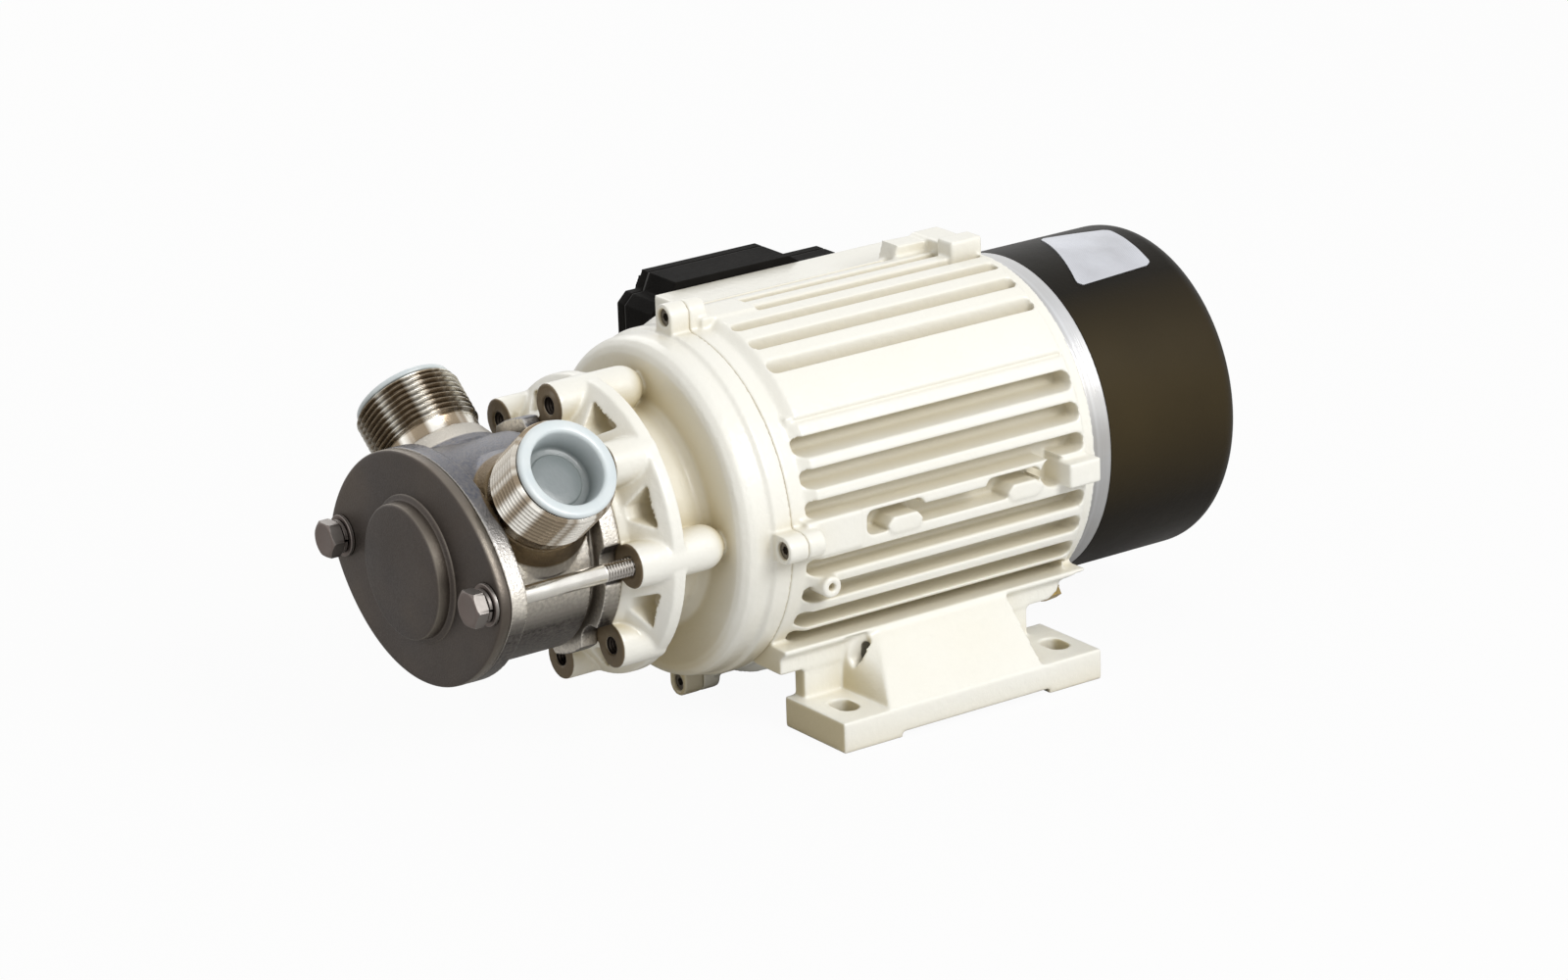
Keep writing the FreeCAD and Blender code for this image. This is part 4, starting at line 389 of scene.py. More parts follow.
sheet_stack = surface("iron_sheets", (0.3, 0.29, 0.28), 0.5, 0.85)
feed(sheet_stack, "Base Color", pattern(sheet_stack, "stripes", lines=SHEET_LINES), (0.17, 0.15, 0.14, 1))
feed(sheet_stack, "Base Color", pattern(sheet_stack, "mottle", scale=80, share=0.5), (0.26, 0.2, 0.15, 1))
relief(sheet_stack, pattern(sheet_stack, "stripes", lines=SHEET_LINES), 0.00005)
dress(sheet_stack, "stator_core", "rotor_core")

copper = surface("varnished_copper_wire", (0.62, 0.26, 0.1), 0.32, 0.9, {"Coat Weight": 0.4})
wires = pattern(copper, "stripes", direction=WIRE_WAY, lines=WIRE_LINES)
feed(copper, "Base Color", wires, (0.3, 0.1, 0.035, 1))
feed(copper, "Base Color", pattern(copper, "mottle", scale=120, share=0.6), (0.5, 0.2, 0.07, 1))
relief(copper, wires, 0.0003)
dress(copper, "front_winding", "rear_winding")

# Shaft, rotor rings, key, clip and springs: turned or wound from stainless bar, with the fine lines
# that the lathe leaves; the rings are cast from aluminium and turned as well.
tree, given, result = shader_group("turning", [
    ("Centre", "Vector", (0, 0, 0.08)), ("Axis", "Vector", (0, 1, 0)), ("Lines", "Float", 2500.0)], "Height")
out = put(tree, "VectorMath", {0: put(tree, "TexCoord").outputs["Object"], 1: given["Centre"]},
          operation="SUBTRACT").outputs[0]
along = put(tree, "VectorMath", {0: out, 1: given["Axis"]}, operation="DOT_PRODUCT").outputs["Value"]
shadow = put(tree, "VectorMath", {0: given["Axis"], "Scale": along}, operation="SCALE").outputs[0]
flat = put(tree, "VectorMath", {0: out, 1: shadow}, operation="SUBTRACT").outputs[0]
radial = put(tree, "VectorMath", {0: flat}, operation="LENGTH").outputs["Value"]
run = put(tree, "Math", {0: radial, 1: along}, operation="ADD").outputs[0]
line = put(tree, "Math", {0: run, 1: given["Lines"]}, operation="MULTIPLY").outputs[0]
noise = put(tree, "TexNoise", {"W": line, "Scale": 1.0, "Detail": 2.0}, noise_dimensions="1D")
tree.links.new(noise.outputs[0], result)

turned_steel = surface("turned_stainless", (0.5, 0.49, 0.47), 0.26, 1.0)
feed(turned_steel, "Base Color", pattern(turned_steel, "turning", lines=900), (0.36, 0.35, 0.34, 1))
feed(turned_steel, "Roughness", pattern(turned_steel, "mottle", scale=160, share=0.7), 0.4)
relief(turned_steel, pattern(turned_steel, "turning", lines=3200), 0.00004)
dress(turned_steel, "drive_shaft", "fan_clip", "impeller_key", "seal_spring", "wave_washer", "wear_plate",
      "cam")

bare_aluminium = surface("turned_aluminium", (0.72, 0.73, 0.75), 0.3, 1.0)
feed(bare_aluminium, "Base Color", pattern(bare_aluminium, "turning", lines=700), (0.5, 0.5, 0.5, 1))
feed(bare_aluminium, "Base Color", pattern(bare_aluminium, "mottle", scale=45, share=0.35),
     (0.45, 0.42, 0.37, 1))
# Painted shade: recesses of the turned aluminium are darkened to a brown.
feed(bare_aluminium, "Base Color", pattern(bare_aluminium, "recess", distance=0.004, full=0.8),
     (0.16, 0.13, 0.09, 1))
feed(bare_aluminium, "Roughness", pattern(bare_aluminium, "mottle", scale=110, share=0.7), 0.45)
relief(bare_aluminium, pattern(bare_aluminium, "turning", lines=2600), 0.00006)
dress(bare_aluminium, "rotor_end_rings", "rear_end_shield")

# Bearings: ground and polished rings with balls, bought ready; the rotor turns in them.
ring_steel = surface("polished_bearing_steel", (0.62, 0.62, 0.63), 0.12, 1.0)
feed(ring_steel, "Roughness", pattern(ring_steel, "turning", lines=5000), 0.22)
feed(ring_steel, "Base Color", pattern(ring_steel, "mottle", scale=200, share=0.4), (0.45, 0.44, 0.42, 1))
dress(ring_steel, "front_bearing", "rear_bearing", "front_bearing_inner_ring", "rear_bearing_inner_ring")

# Fan: moulded in grey plastic and pushed on the shaft. The run capacitor's can is the same plastic.
grey_plastic = surface("grey_fan_plastic", (0.3, 0.31, 0.32), 0.45)
feed(grey_plastic, "Base Color", pattern(grey_plastic, "mottle", scale=60, share=0.6), (0.24, 0.25, 0.26, 1))
# Painted shade: recesses of the grey plastic are darkened.
feed(grey_plastic, "Base Color", pattern(grey_plastic, "recess", distance=0.012, full=0.6),
     (0.1, 0.095, 0.085, 1))
feed(grey_plastic, "Roughness", pattern(grey_plastic, "mottle", scale=300, share=0.7), 0.6)
relief(grey_plastic, pattern(grey_plastic, "grain", scale=1800), 0.00004)
dress(grey_plastic, "fan", "run_capacitor")

# Fan cover: drawn from steel sheet in one piece, with a large round edge and three rings of air holes
# punched in its end, then painted in a thin black. A painted brown sheen lies on the faces turned
# towards the inlet side. Three screws on the far side hold it to the rear shield.
COVER_START = 83.6
COVER_END = 149.2
COVER_RADIUS = 64.5
SHEET = 1.2
COVER_ROUND = 9.0
AIR_HOLES = ((18, 8), (30, 14), (42, 20))   # radius of each ring and its number of holes
AIR_HOLE_RADIUS = 4.2
SHEEN_WAY = (0.96, 0, 0.28)
SHEEN_BROWN = (0.052, 0.038, 0.016, 1)
SHAFT_AXIS = Matrix.Translation((0, 0, SHAFT)) @ Matrix.Rotation(math.radians(-90), 4, "X")


def spun(profile, matrix=SHAFT_AXIS, steps=96):
    """A closed skin turned about an axis from (radius, place) pairs; a radius may follow the angle."""
    mesh = bmesh.new()
    rings = []
    for radius, place in profile:
        if not callable(radius) and radius < 1e-6:
            rings.append([mesh.verts.new(matrix @ Vector((0, 0, place)))])
            continue
        ring = []
        for step in range(steps):
            turn = 2 * math.pi * step / steps
            reach = radius(turn) if callable(radius) else radius
            corner = Vector((reach * math.cos(turn), reach * math.sin(turn), place))
            ring.append(mesh.verts.new(matrix @ corner))
        rings.append(ring)
    whole = len(rings[0]) > 1 or len(rings[-1]) > 1
    pairs = list(zip(rings, rings[1:])) + ([(rings[-1], rings[0])] if whole else [])
    for near, far in pairs:
        for step in range(steps):
            after = (step + 1) % steps
            corners = list(dict.fromkeys((near[step % len(near)], near[after % len(near)],
                                          far[after % len(far)], far[step % len(far)])))
            if len(corners) > 2:
                mesh.faces.new(corners)
    bmesh.ops.recalc_face_normals(mesh, faces=mesh.faces)
    return mesh


def drawn(meshes, sharp=35, cuts=()):
    """Drawings in mm become one mesh in metres, less the cuts, with smooth shading up to an angle."""
    things = []
    for group in (meshes, cuts):
        data = bpy.data.meshes.new("drawing")
        whole = bmesh.new()
        for mesh in group:
            part = bpy.data.meshes.new("part")
            mesh.to_mesh(part)
            mesh.free()
            whole.from_mesh(part)
            bpy.data.meshes.remove(part)
        whole.to_mesh(data)
        whole.free()
        data.transform(Matrix.Scale(MM, 4))
        thing = bpy.data.objects.new("drawing", data)
        bpy.context.scene.collection.objects.link(thing)
        things.append(thing)
    base, tool = things
    taken = [("BOOLEAN", {"object": tool, "operation": "DIFFERENCE", "solver": "MANIFOLD"})] if cuts else []
    data = shaped(base, taken)
    used = tool.data
    bpy.data.objects.remove(tool)
    bpy.data.meshes.remove(used)
    data.shade_smooth()
    data.set_sharp_from_angle(angle=math.radians(sharp))
    return data


def round_shaft(radius, angle):
    """A place on a circle about the shaft; the angle counts up from the inlet side."""
    return radius * math.cos(angle), SHAFT + radius * math.sin(angle)


def rod(x, z, radius, start, end, steps=32):
    """A round bar along the shaft's direction."""
    axis = Matrix.Translation((x, 0, z)) @ Matrix.Rotation(math.radians(-90), 4, "X")
    return spun([(0, start), (radius, start), (radius, end), (0, end)], axis, steps)


bend = [math.radians(5 * step) for step in range(19)]
skin = [(COVER_RADIUS - SHEET, COVER_START), (COVER_RADIUS - 0.2, COVER_START),
        (COVER_RADIUS, COVER_START + 0.2)]
skin += [(COVER_RADIUS, COVER_START + 12 * step) for step in range(1, 5)]
skin += [(COVER_RADIUS - COVER_ROUND + COVER_ROUND * math.cos(turn), COVER_END - COVER_ROUND + COVER_ROUND
          * math.sin(turn)) for turn in bend]
skin += [(radius, COVER_END) for radius in (50, 36, 24, 12, 0)]
skin += [(radius, COVER_END - SHEET) for radius in (0, 12, 24, 36, 50)]
inner = COVER_ROUND - SHEET
skin += [(COVER_RADIUS - COVER_ROUND + inner * math.cos(turn), COVER_END - COVER_ROUND + inner * math.sin(turn))
         for turn in reversed(bend)]
holes = []
for radius, count in AIR_HOLES:
    for step in range(count):
        x, z = round_shaft(radius, 2 * math.pi * step / count)
        holes.append(rod(x, z, AIR_HOLE_RADIUS, COVER_END - 3, COVER_END + 1, 24))

black_paint = surface("black_brown_paint", (0.008, 0.007, 0.005), 0.42, 0.0, {"Specular IOR Level": 0.09})
# Painted sheen: faces turned towards the sheen's way get a brown reflection colour.
feed(black_paint, "Base Color", pattern(black_paint, "facing", direction=SHEEN_WAY, start=0.72, end=1.0),
     SHEEN_BROWN)
feed(black_paint, "Base Color", pattern(black_paint, "mottle", scale=9, share=0.5), (0.016, 0.012, 0.007, 1))
feed(black_paint, "Roughness", pattern(black_paint, "mottle", scale=38, share=0.8), 0.46)
relief(black_paint, pattern(black_paint, "grain", scale=900, detail=3), 0.00006)
relief(black_paint, pattern(black_paint, "mottle", scale=22, share=1), 0.0003)
finish_piece("fan_cover_sheet", drawn([spun(skin, steps=160)], cuts=holes), "pump_and_motor", black_paint,
             ["fan_cover"])

HEADS_END = -191.5   # in front of it are the heads of the long cover screws, rougher and painted darker as shade
screw_steel = surface("stainless_screw_steel", (0.92, 0.9, 0.85), 0.22, 1.0)
feed(screw_steel, "Base Color", pattern(screw_steel, "mottle", scale=120, share=0.3), (0.36, 0.32, 0.27, 1))
shaded_head = pattern(screw_steel, "behind", direction=(0, 1, 0), place=HEADS_END * MM, depth=0.0005)
# Painted shade: the screw heads are coloured darker.
feed(screw_steel, "Base Color", shaded_head, (0.25, 0.23, 0.215, 1))
feed(screw_steel, "Roughness", shaded_head, 0.5)
# Painted shade: faces of the screws turned to the front are darkened.
feed(screw_steel, "Base Color", pattern(screw_steel, "facing", direction=(0, -1, 0), start=0.5, end=0.95),
     (0.2, 0.165, 0.15, 1))
# Painted shade: thread valleys and other recesses are darkened.
feed(screw_steel, "Base Color", pattern(screw_steel, "recess", distance=0.0008, start=0.9, end=0.3, full=0.8),
     (0.05, 0.035, 0.025, 1))
feed(screw_steel, "Roughness", pattern(screw_steel, "mottle", scale=500, share=0.4), 0.34)
relief(screw_steel, pattern(screw_steel, "grain", scale=2200), 0.00001)
dress(screw_steel, "fan_cover_screws", "lid_screws")

# Label place: a thin aluminium plate glued on the upper side of the fan cover, left bare. Its edge is
# pressed a little higher than its middle.
PLATE_CORNERS = ((108.8, 99.7), (135.5, 90.9), (133.3, 63.3), (95.1, 61.4))
PLATE_ROWS = 25
PLATE_COLUMNS = 33


def plate_point(share, height, lift):
    """A point of the plate from its share of the width and height."""
    shares = ((1 - share) * (1 - height), share * (1 - height), share * height, (1 - share) * height)
    y = sum(corner[0] * part for corner, part in zip(PLATE_CORNERS, shares))
    angle = math.radians(sum(corner[1] * part for corner, part in zip(PLATE_CORNERS, shares)))
    x, z = round_shaft(COVER_RADIUS + lift, angle)
    return x, y, z


plate = bmesh.new()
layers = []
for lift in (0.02, 0.42):
    rows = []
    for row in range(PLATE_ROWS):
        height = row / (PLATE_ROWS - 1)
        from_end = min(height, 1 - height) / 0.09
        pulled = 0.07 * (1 - math.sqrt(1 - (1 - min(from_end, 1)) ** 2))
        points = []
        for column in range(PLATE_COLUMNS):
            share = column / (PLATE_COLUMNS - 1)
            rim = min(height, 1 - height, share, 1 - share) < 0.05
            points.append(plate.verts.new(plate_point(
                pulled + share * (1 - 2 * pulled), height, lift + (0.1 if rim and lift > 0.1 else 0))))
        rows.append(points)
    layers.append(rows)
for rows in layers:
    for row in range(PLATE_ROWS - 1):
        for column in range(PLATE_COLUMNS - 1):
            plate.faces.new((rows[row][column], rows[row][column + 1], rows[row + 1][column + 1],
                             rows[row + 1][column]))
edges = [[rows[0][column] for column in range(PLATE_COLUMNS)] + [rows[row][-1] for row in range(1, PLATE_ROWS)]
         + [rows[-1][column] for column in range(PLATE_COLUMNS - 2, -1, -1)]
         + [rows[row][0] for row in range(PLATE_ROWS - 2, 0, -1)] for rows in layers]
for step in range(len(edges[0])):
    plate.faces.new((edges[0][step - 1], edges[0][step], edges[1][step], edges[1][step - 1]))
bmesh.ops.recalc_face_normals(plate, faces=plate.faces)
plate_silver = surface("bare_label_silver", (0.84, 0.87, 0.93), 0.3, 1.0)
feed(plate_silver, "Base Color", pattern(plate_silver, "stripes", direction=(0, 1, 0), lines=9000),
     (0.52, 0.52, 0.55, 1))
feed(plate_silver, "Base Color", pattern(plate_silver, "mottle", scale=60, share=0.6), (0.45, 0.45, 0.47, 1))
feed(plate_silver, "Roughness", pattern(plate_silver, "mottle", scale=240, share=0.8), 0.5)
relief(plate_silver, pattern(plate_silver, "grain", scale=1500), 0.00003)
finish_piece("label_plate", drawn([plate], sharp=50), "pump_and_motor", plate_silver)

# Terminal box: a moulded black housing on the far side with gasket, stepped lid, cable gland and its
# nut, all with the fine eroded grain of the mould. Inside it are a buff terminal block and the
# capacitor.
black_plastic = surface("grained_black_plastic", (0.006, 0.0055, 0.005), 0.6, 0.0, {"Specular IOR Level": 0.03})
feed(black_plastic, "Base Color", pattern(black_plastic, "mottle", scale=50, share=0.8),
     (0.013, 0.012, 0.011, 1))
feed(black_plastic, "Base Color", pattern(black_plastic, "worn_edge", start=0.54, end=0.66),
     (0.035, 0.033, 0.03, 1))
feed(black_plastic, "Roughness", pattern(black_plastic, "mottle", scale=420, share=0.8), 0.66)
relief(black_plastic, pattern(black_plastic, "grain", scale=1300, detail=2), 0.00012)
for name, grain in (("terminal_box", 0.5), ("box_lid", 0.5), ("cable_gland", 0.3), ("gland_nut", 0.3)):
    moulded(name, black_plastic, grain, 3)

buff_plastic = surface("buff_block_plastic", (0.62, 0.52, 0.34), 0.5)
feed(buff_plastic, "Base Color", pattern(buff_plastic, "mottle", scale=150, share=0.6), (0.5, 0.4, 0.25, 1))
# Painted shade: recesses of the terminal block are darkened.
feed(buff_plastic, "Base Color", pattern(buff_plastic, "recess", distance=0.004, full=0.8),
     (0.14, 0.1, 0.06, 1))
relief(buff_plastic, pattern(buff_plastic, "grain", scale=1500), 0.00004)
dress(buff_plastic, "terminal_block")

black_rubber = surface("black_rubber", (0.022, 0.021, 0.02), 0.62)
feed(black_rubber, "Base Color", pattern(black_rubber, "mottle", scale=90, share=0.9), (0.05, 0.048, 0.045, 1))
feed(black_rubber, "Roughness", pattern(black_rubber, "mottle", scale=500, share=0.8), 0.78)
relief(black_rubber, pattern(black_rubber, "grain", scale=1700, detail=3), 0.00006)
dress(black_rubber, "box_gasket", "flexible_impeller", "cover_sealing_ring", "water_slinger")

# Earth screw: a brass hexagon screw with its washer, low on the frame at its fan end.
brass = surface("plain_brass", (0.72, 0.53, 0.2), 0.26, 1.0)
feed(brass, "Base Color", pattern(brass, "mottle", scale=300, share=0.7), (0.45, 0.3, 0.09, 1))
feed(brass, "Roughness", pattern(brass, "mottle", scale=700, share=0.8), 0.42)
relief(brass, pattern(brass, "grain", scale=2200), 0.00003)
dress(brass, "earth_screw", "earth_washer")

# Impeller hub and shaft seal: a bronze bush vulcanised into the rubber, a ceramic seat and a carbon
# ring lapped flat against each other.
bronze = surface("hub_bronze", (0.6, 0.42, 0.2), 0.34, 1.0)
feed(bronze, "Base Color", pattern(bronze, "mottle", scale=200, share=0.7), (0.4, 0.26, 0.12, 1))
relief(bronze, pattern(bronze, "turning", lines=2800), 0.00004)
dress(bronze, "impeller_hub")
ceramic = surface("lapped_ceramic", (0.86, 0.85, 0.8), 0.14)
feed(ceramic, "Base Color", pattern(ceramic, "mottle", scale=300, share=0.5), (0.8, 0.78, 0.7, 1))
feed(ceramic, "Roughness", pattern(ceramic, "turning", lines=4000), 0.24)
dress(ceramic, "seal_seat")
carbon = surface("seal_carbon", (0.05, 0.05, 0.052), 0.36)
feed(carbon, "Base Color", pattern(carbon, "mottle", scale=600, share=0.8), (0.085, 0.085, 0.09, 1))
relief(carbon, pattern(carbon, "turning", lines=3600), 0.00003)
dress(carbon, "seal_ring")

# Pump body: investment-cast stainless steel. An oval flange in front, a short barrel, a groove, a
# rear flange let in between the bosses of the shield, and two flared roots for the ports. The
# casting is blasted, so it has a fine speckle. Its top is painted a dark blue grey as reflection,
# its underside and recesses are painted dark as shade, and a painted brown shadow lies around the
# inlet root; around the outlet root it is painted a plain mid grey.
PORT = -158.5
PORT_LEAN = math.radians(50.5)
PORT_ROOT_RADIUS = 23.8
INLET_ROOT_SHADOW = (0.13, 0.095, 0.055, 1)
OUTLET_ROOT_GREY = (0.5, 0.47, 0.42, 1)
EDGE_SHARPNESS = 1500.0
BODY_GRAIN = 0.5

tree, given, result = shader_group("about", [
    ("Centre", "Vector", (0, 0, 0)), ("Axis", "Vector", (0, 0, 1)), ("Radius", "Float", 0.02)], "Mask")
out = put(tree, "VectorMath", {0: put(tree, "TexCoord").outputs["Object"], 1: given["Centre"]},
          operation="SUBTRACT").outputs[0]
along = put(tree, "VectorMath", {0: out, 1: given["Axis"]}, operation="DOT_PRODUCT").outputs["Value"]
shadow = put(tree, "VectorMath", {0: given["Axis"], "Scale": along}, operation="SCALE").outputs[0]
flat = put(tree, "VectorMath", {0: out, 1: shadow}, operation="SUBTRACT").outputs[0]
reach = put(tree, "VectorMath", {0: flat}, operation="LENGTH").outputs["Value"]
margin = put(tree, "Math", {0: given["Radius"], 1: reach}, operation="SUBTRACT").outputs[0]
inside = put(tree, "Math", {0: margin, 1: EDGE_SHARPNESS}, operation="MULTIPLY", use_clamp=True).outputs[0]
on_way = put(tree, "Math", {0: along, 1: 0.0}, operation="GREATER_THAN").outputs[0]
both = put(tree, "Math", {0: inside, 1: on_way}, operation="MULTIPLY")
tree.links.new(both.outputs[0], result)

cast_steel = surface("blasted_cast_stainless", (0.93, 0.88, 0.79), 0.36, 1.0)
# Painted reflection: faces turned upwards are coloured a dark blue grey.
feed(cast_steel, "Base Color", pattern(cast_steel, "facing", direction=(0, 0, 1), start=0.2, end=0.85),
     (0.1, 0.105, 0.125, 1))
# Painted shade: faces turned downwards are darkened.
feed(cast_steel, "Base Color", pattern(cast_steel, "facing", start=0.08, end=0.5), (0.05, 0.044, 0.04, 1))
# Painted shade: recesses of the body are darkened to a brown.
feed(cast_steel, "Base Color", pattern(cast_steel, "recess", distance=0.006, start=0.8, end=0.3, full=0.9),
     (0.07, 0.045, 0.022, 1))
feed(cast_steel, "Base Color", pattern(cast_steel, "mottle", scale=700, share=0.5), (0.27, 0.25, 0.23, 1))
# Painted shadow: brown around the inlet root; around the outlet root a plain mid grey.
for side in (1, -1):
    port_root_tint = pattern(cast_steel, "about", centre=(0, PORT * MM, SHAFT * MM),
                        axis=(side * math.sin(PORT_LEAN), 0, math.cos(PORT_LEAN)), radius=PORT_ROOT_RADIUS * MM)
    feed(cast_steel, "Base Color", port_root_tint, INLET_ROOT_SHADOW if side > 0 else OUTLET_ROOT_GREY)
feed(cast_steel, "Base Color", pattern(cast_steel, "worn_edge", start=0.53, end=0.62), (0.75, 0.72, 0.66, 1))
feed(cast_steel, "Roughness", pattern(cast_steel, "mottle", scale=700, share=0.9), 0.5)
relief(cast_steel, pattern(cast_steel, "grain", scale=1400, detail=2), 0.00018)
moulded("pump_body", cast_steel, BODY_GRAIN, 4)

# Front cover: an oval plate with a raised disc, machined from the same cast steel. Its face is
# finely speckled and painted a dark grey-brown as shade, its edges are bright. Chamfers and slopes
# that turn away from the front are painted lighter as highlight; the disc's side and the recesses
# are painted darker as shade.
COVER_BACK = -186.8
COVER_FRONT = -191.3
DISC_FRONT = -197.3
STUD_CIRCLE = 49.5
DISC_FOOT = 31.0


def oval(inset):
    """The outline of flange and cover, drawn in from its edge: four arcs that touch."""
    ear_centre, ear, half_height = 41.0, 17.5, 44.0
    gap = half_height - ear
    drop = (ear_centre ** 2 - gap ** 2) / (2 * gap)
    flat = half_height + drop
    touch = math.atan2(-drop + flat * drop / (flat - ear), ear_centre * flat / (flat - ear))

    def radius(turn):
        rise = abs(math.sin(turn))
        run = abs(math.cos(turn))
        if math.atan2(rise, run) < touch:
            return ear_centre * run + math.sqrt((ear - inset) ** 2 - (ear_centre * rise) ** 2)
        return math.sqrt((flat - inset) ** 2 - (drop * run) ** 2) - drop * rise

    return radius


cover_profile = [
    (0, DISC_FRONT), (12, DISC_FRONT), (24.5, DISC_FRONT), (25.2, DISC_FRONT + 0.25), (25.6, DISC_FRONT + 0.8),
    (26.0, COVER_FRONT - 1.3), (26.7, COVER_FRONT - 0.75), (27.6, COVER_FRONT - 0.6),
    (28.0, COVER_FRONT - 0.3), (28.2, COVER_FRONT), (33, COVER_FRONT),
    (oval(3), COVER_FRONT), (oval(1), COVER_FRONT), (oval(0.35), COVER_FRONT + 0.2),
    (oval(0.05), COVER_FRONT + 0.7),
    (oval(0.0), COVER_FRONT + 2), (oval(0.05), COVER_BACK - 0.7), (oval(0.4), COVER_BACK - 0.15),
    (oval(1), COVER_BACK), (30, COVER_BACK), (0, COVER_BACK),
]
holes = [rod(side * STUD_CIRCLE, SHAFT, 3.8, COVER_FRONT - 2, COVER_BACK + 2) for side in (1, -1)]
# Painted shade: the cover's face colour is a dark grey-brown.
cover_steel = surface("machined_cover_steel", (0.125, 0.113, 0.108), 0.42, 1.0)
feed(cover_steel, "Base Color", pattern(cover_steel, "mottle", scale=1300, share=0.8), (0.08, 0.072, 0.07, 1))
rim = pattern(cover_steel, "behind", direction=(0, -1, 0), place=-(COVER_FRONT + 0.35) * MM, depth=0.0003)
feed(cover_steel, "Base Color", rim, (0.5, 0.48, 0.44, 1))
# Painted highlight: chamfers and slopes that turn away from the front are lightened.
feed(cover_steel, "Base Color", pattern(cover_steel, "facing", direction=(0, -1, 0), start=0.9, end=0.5),
     (0.34, 0.31, 0.26, 1))
# Painted shade: the side of the disc is darkened.
feed(cover_steel, "Base Color", pattern(cover_steel, "facing", direction=(0, -1, 0), start=0.4, end=0.15),
     (0.15, 0.125, 0.1, 1), pattern(cover_steel, "about", centre=(0, COVER_FRONT * MM, SHAFT * MM),
                                    axis=(0, -1, 0), radius=DISC_FOOT * MM))
feed(cover_steel, "Base Color", pattern(cover_steel, "mottle", scale=26, share=0.8), (0.155, 0.125, 0.1, 1))
feed(cover_steel, "Base Color", pattern(cover_steel, "mottle", scale=11, share=0.7), (0.075, 0.064, 0.058, 1))
# Painted shade: recesses of the cover are darkened.
feed(cover_steel, "Base Color", pattern(cover_steel, "recess", distance=0.005, full=0.8),
     (0.03, 0.022, 0.016, 1))
feed(cover_steel, "Roughness", pattern(cover_steel, "mottle", scale=900, share=0.9), 0.52)
relief(cover_steel, pattern(cover_steel, "grain", scale=1500, detail=2), 0.00009)
finish_piece("front_cover_plate", drawn([spun(cover_profile, steps=192)], cuts=holes, sharp=45),
             "pump_and_motor", cover_steel, ["front_cover"])

# Long cover screws: two stainless hexagon screws with a flat and a spring washer each. They pass
# cover and flange, cross the open side of the body and end in bosses of the shield.
WASHER_FRONT = COVER_FRONT - 1.6
SPRING_FRONT = WASHER_FRONT - 2.0
HEAD_FRONT = SPRING_FRONT - 5.3
SCREW_END = STUD_FACE + 14.0
THREAD_START = -142.0
THREAD_PITCH = 1.25
SHANK = 3.5
THREAD_ROOT = 2.9
HEAD_FLATS = 13
WASHER_RADIUS = 8.0


def hexagon(flats, limit):
    """The radius of a hexagon across its flats, no more than a chamfer's limit."""
    def radius(turn):
        lean = turn % (math.pi / 3) - math.pi / 6
        return min(flats / 2 / math.cos(lean), limit)

    return radius


def thread(place, start, pitch, crest, root, blank, fade):
    """The radius of a thread at a place along it, coming out of the blank at its start."""
    share = min(max((place - start) / fade, 0), 1)

    def radius(turn):
        rise = abs(2 * ((place / pitch - turn / (2 * math.pi)) % 1) - 1)
        rise = min(max((rise - 0.1) / 0.8, 0), 1)
        return blank + (root + (crest - root) * rise - blank) * share

    return radius


long_screws = []
flat_washers = []
spring_washers = []
for side in (1, -1):
    axis = Matrix.Translation((side * STUD_CIRCLE, 0, SHAFT)) @ Matrix.Rotation(math.radians(-90), 4, "X")
    profile = [(0, HEAD_FRONT + 0.1), (4.6, HEAD_FRONT + 0.1), (5.0, HEAD_FRONT), (6.1, HEAD_FRONT)]
    profile += [(hexagon(HEAD_FLATS, 6.2 + rise * 1.75), HEAD_FRONT + rise)
                for rise in (0.1, 0.25, 0.4, 0.6, 0.8)]
    profile += [(hexagon(HEAD_FLATS, 9), HEAD_FRONT + 4.6), (hexagon(HEAD_FLATS, 7.1), HEAD_FRONT + 4.9),
                (hexagon(HEAD_FLATS, 6.2), SPRING_FRONT), (SHANK, SPRING_FRONT), (SHANK, THREAD_START)]
    rings = int((SCREW_END - 0.8 - THREAD_START) / THREAD_PITCH * 8)
    for step in range(1, rings):
        place = THREAD_START + step * THREAD_PITCH / 8
        profile.append((thread(place, THREAD_START, THREAD_PITCH, SHANK, THREAD_ROOT, SHANK, 1.2), place))
    profile += [(2.8, SCREW_END - 0.6), (2.4, SCREW_END), (0, SCREW_END)]
    long_screws.append(spun(profile, axis, 96))
    flat_washers.append(spun([(3.75, WASHER_FRONT + 0.05), (WASHER_RADIUS - 0.3, WASHER_FRONT + 0.05),
                              (WASHER_RADIUS, WASHER_FRONT + 0.3), (WASHER_RADIUS, COVER_FRONT - 0.35),
                              (WASHER_RADIUS - 0.2, COVER_FRONT - 0.05), (3.75, COVER_FRONT - 0.05)], axis, 64))
    coil = bmesh.new()
    sections = []
    for step in range(61):
        turn = math.radians(4 + 352 * step / 60)
        lift = 0.3 * step / 60
        section = []
        for radius, place in ((3.8, 0.08), (6.2, 0.08), (6.4, 0.25), (6.4, 1.35), (6.2, 1.5), (3.8, 1.5)):
            section.append(coil.verts.new(axis @ Vector((
                radius * math.cos(turn), radius * math.sin(turn), SPRING_FRONT + place + lift))))
        sections.append(section)
    for near, far in zip(sections, sections[1:]):
        for step in range(6):
            coil.faces.new((near[step - 1], near[step], far[step], far[step - 1]))
    coil.faces.new(sections[0])
    coil.faces.new(sections[-1])
    bmesh.ops.recalc_face_normals(coil, faces=coil.faces)
    spring_washers.append(coil)
finish_piece("long_cover_screws", drawn(long_screws, sharp=30), "pump_and_motor", screw_steel,
             ["cover_screws"])
finish_piece("flat_washers", drawn(flat_washers, sharp=30), "pump_and_motor", screw_steel,
             ["cover_flat_washers"])
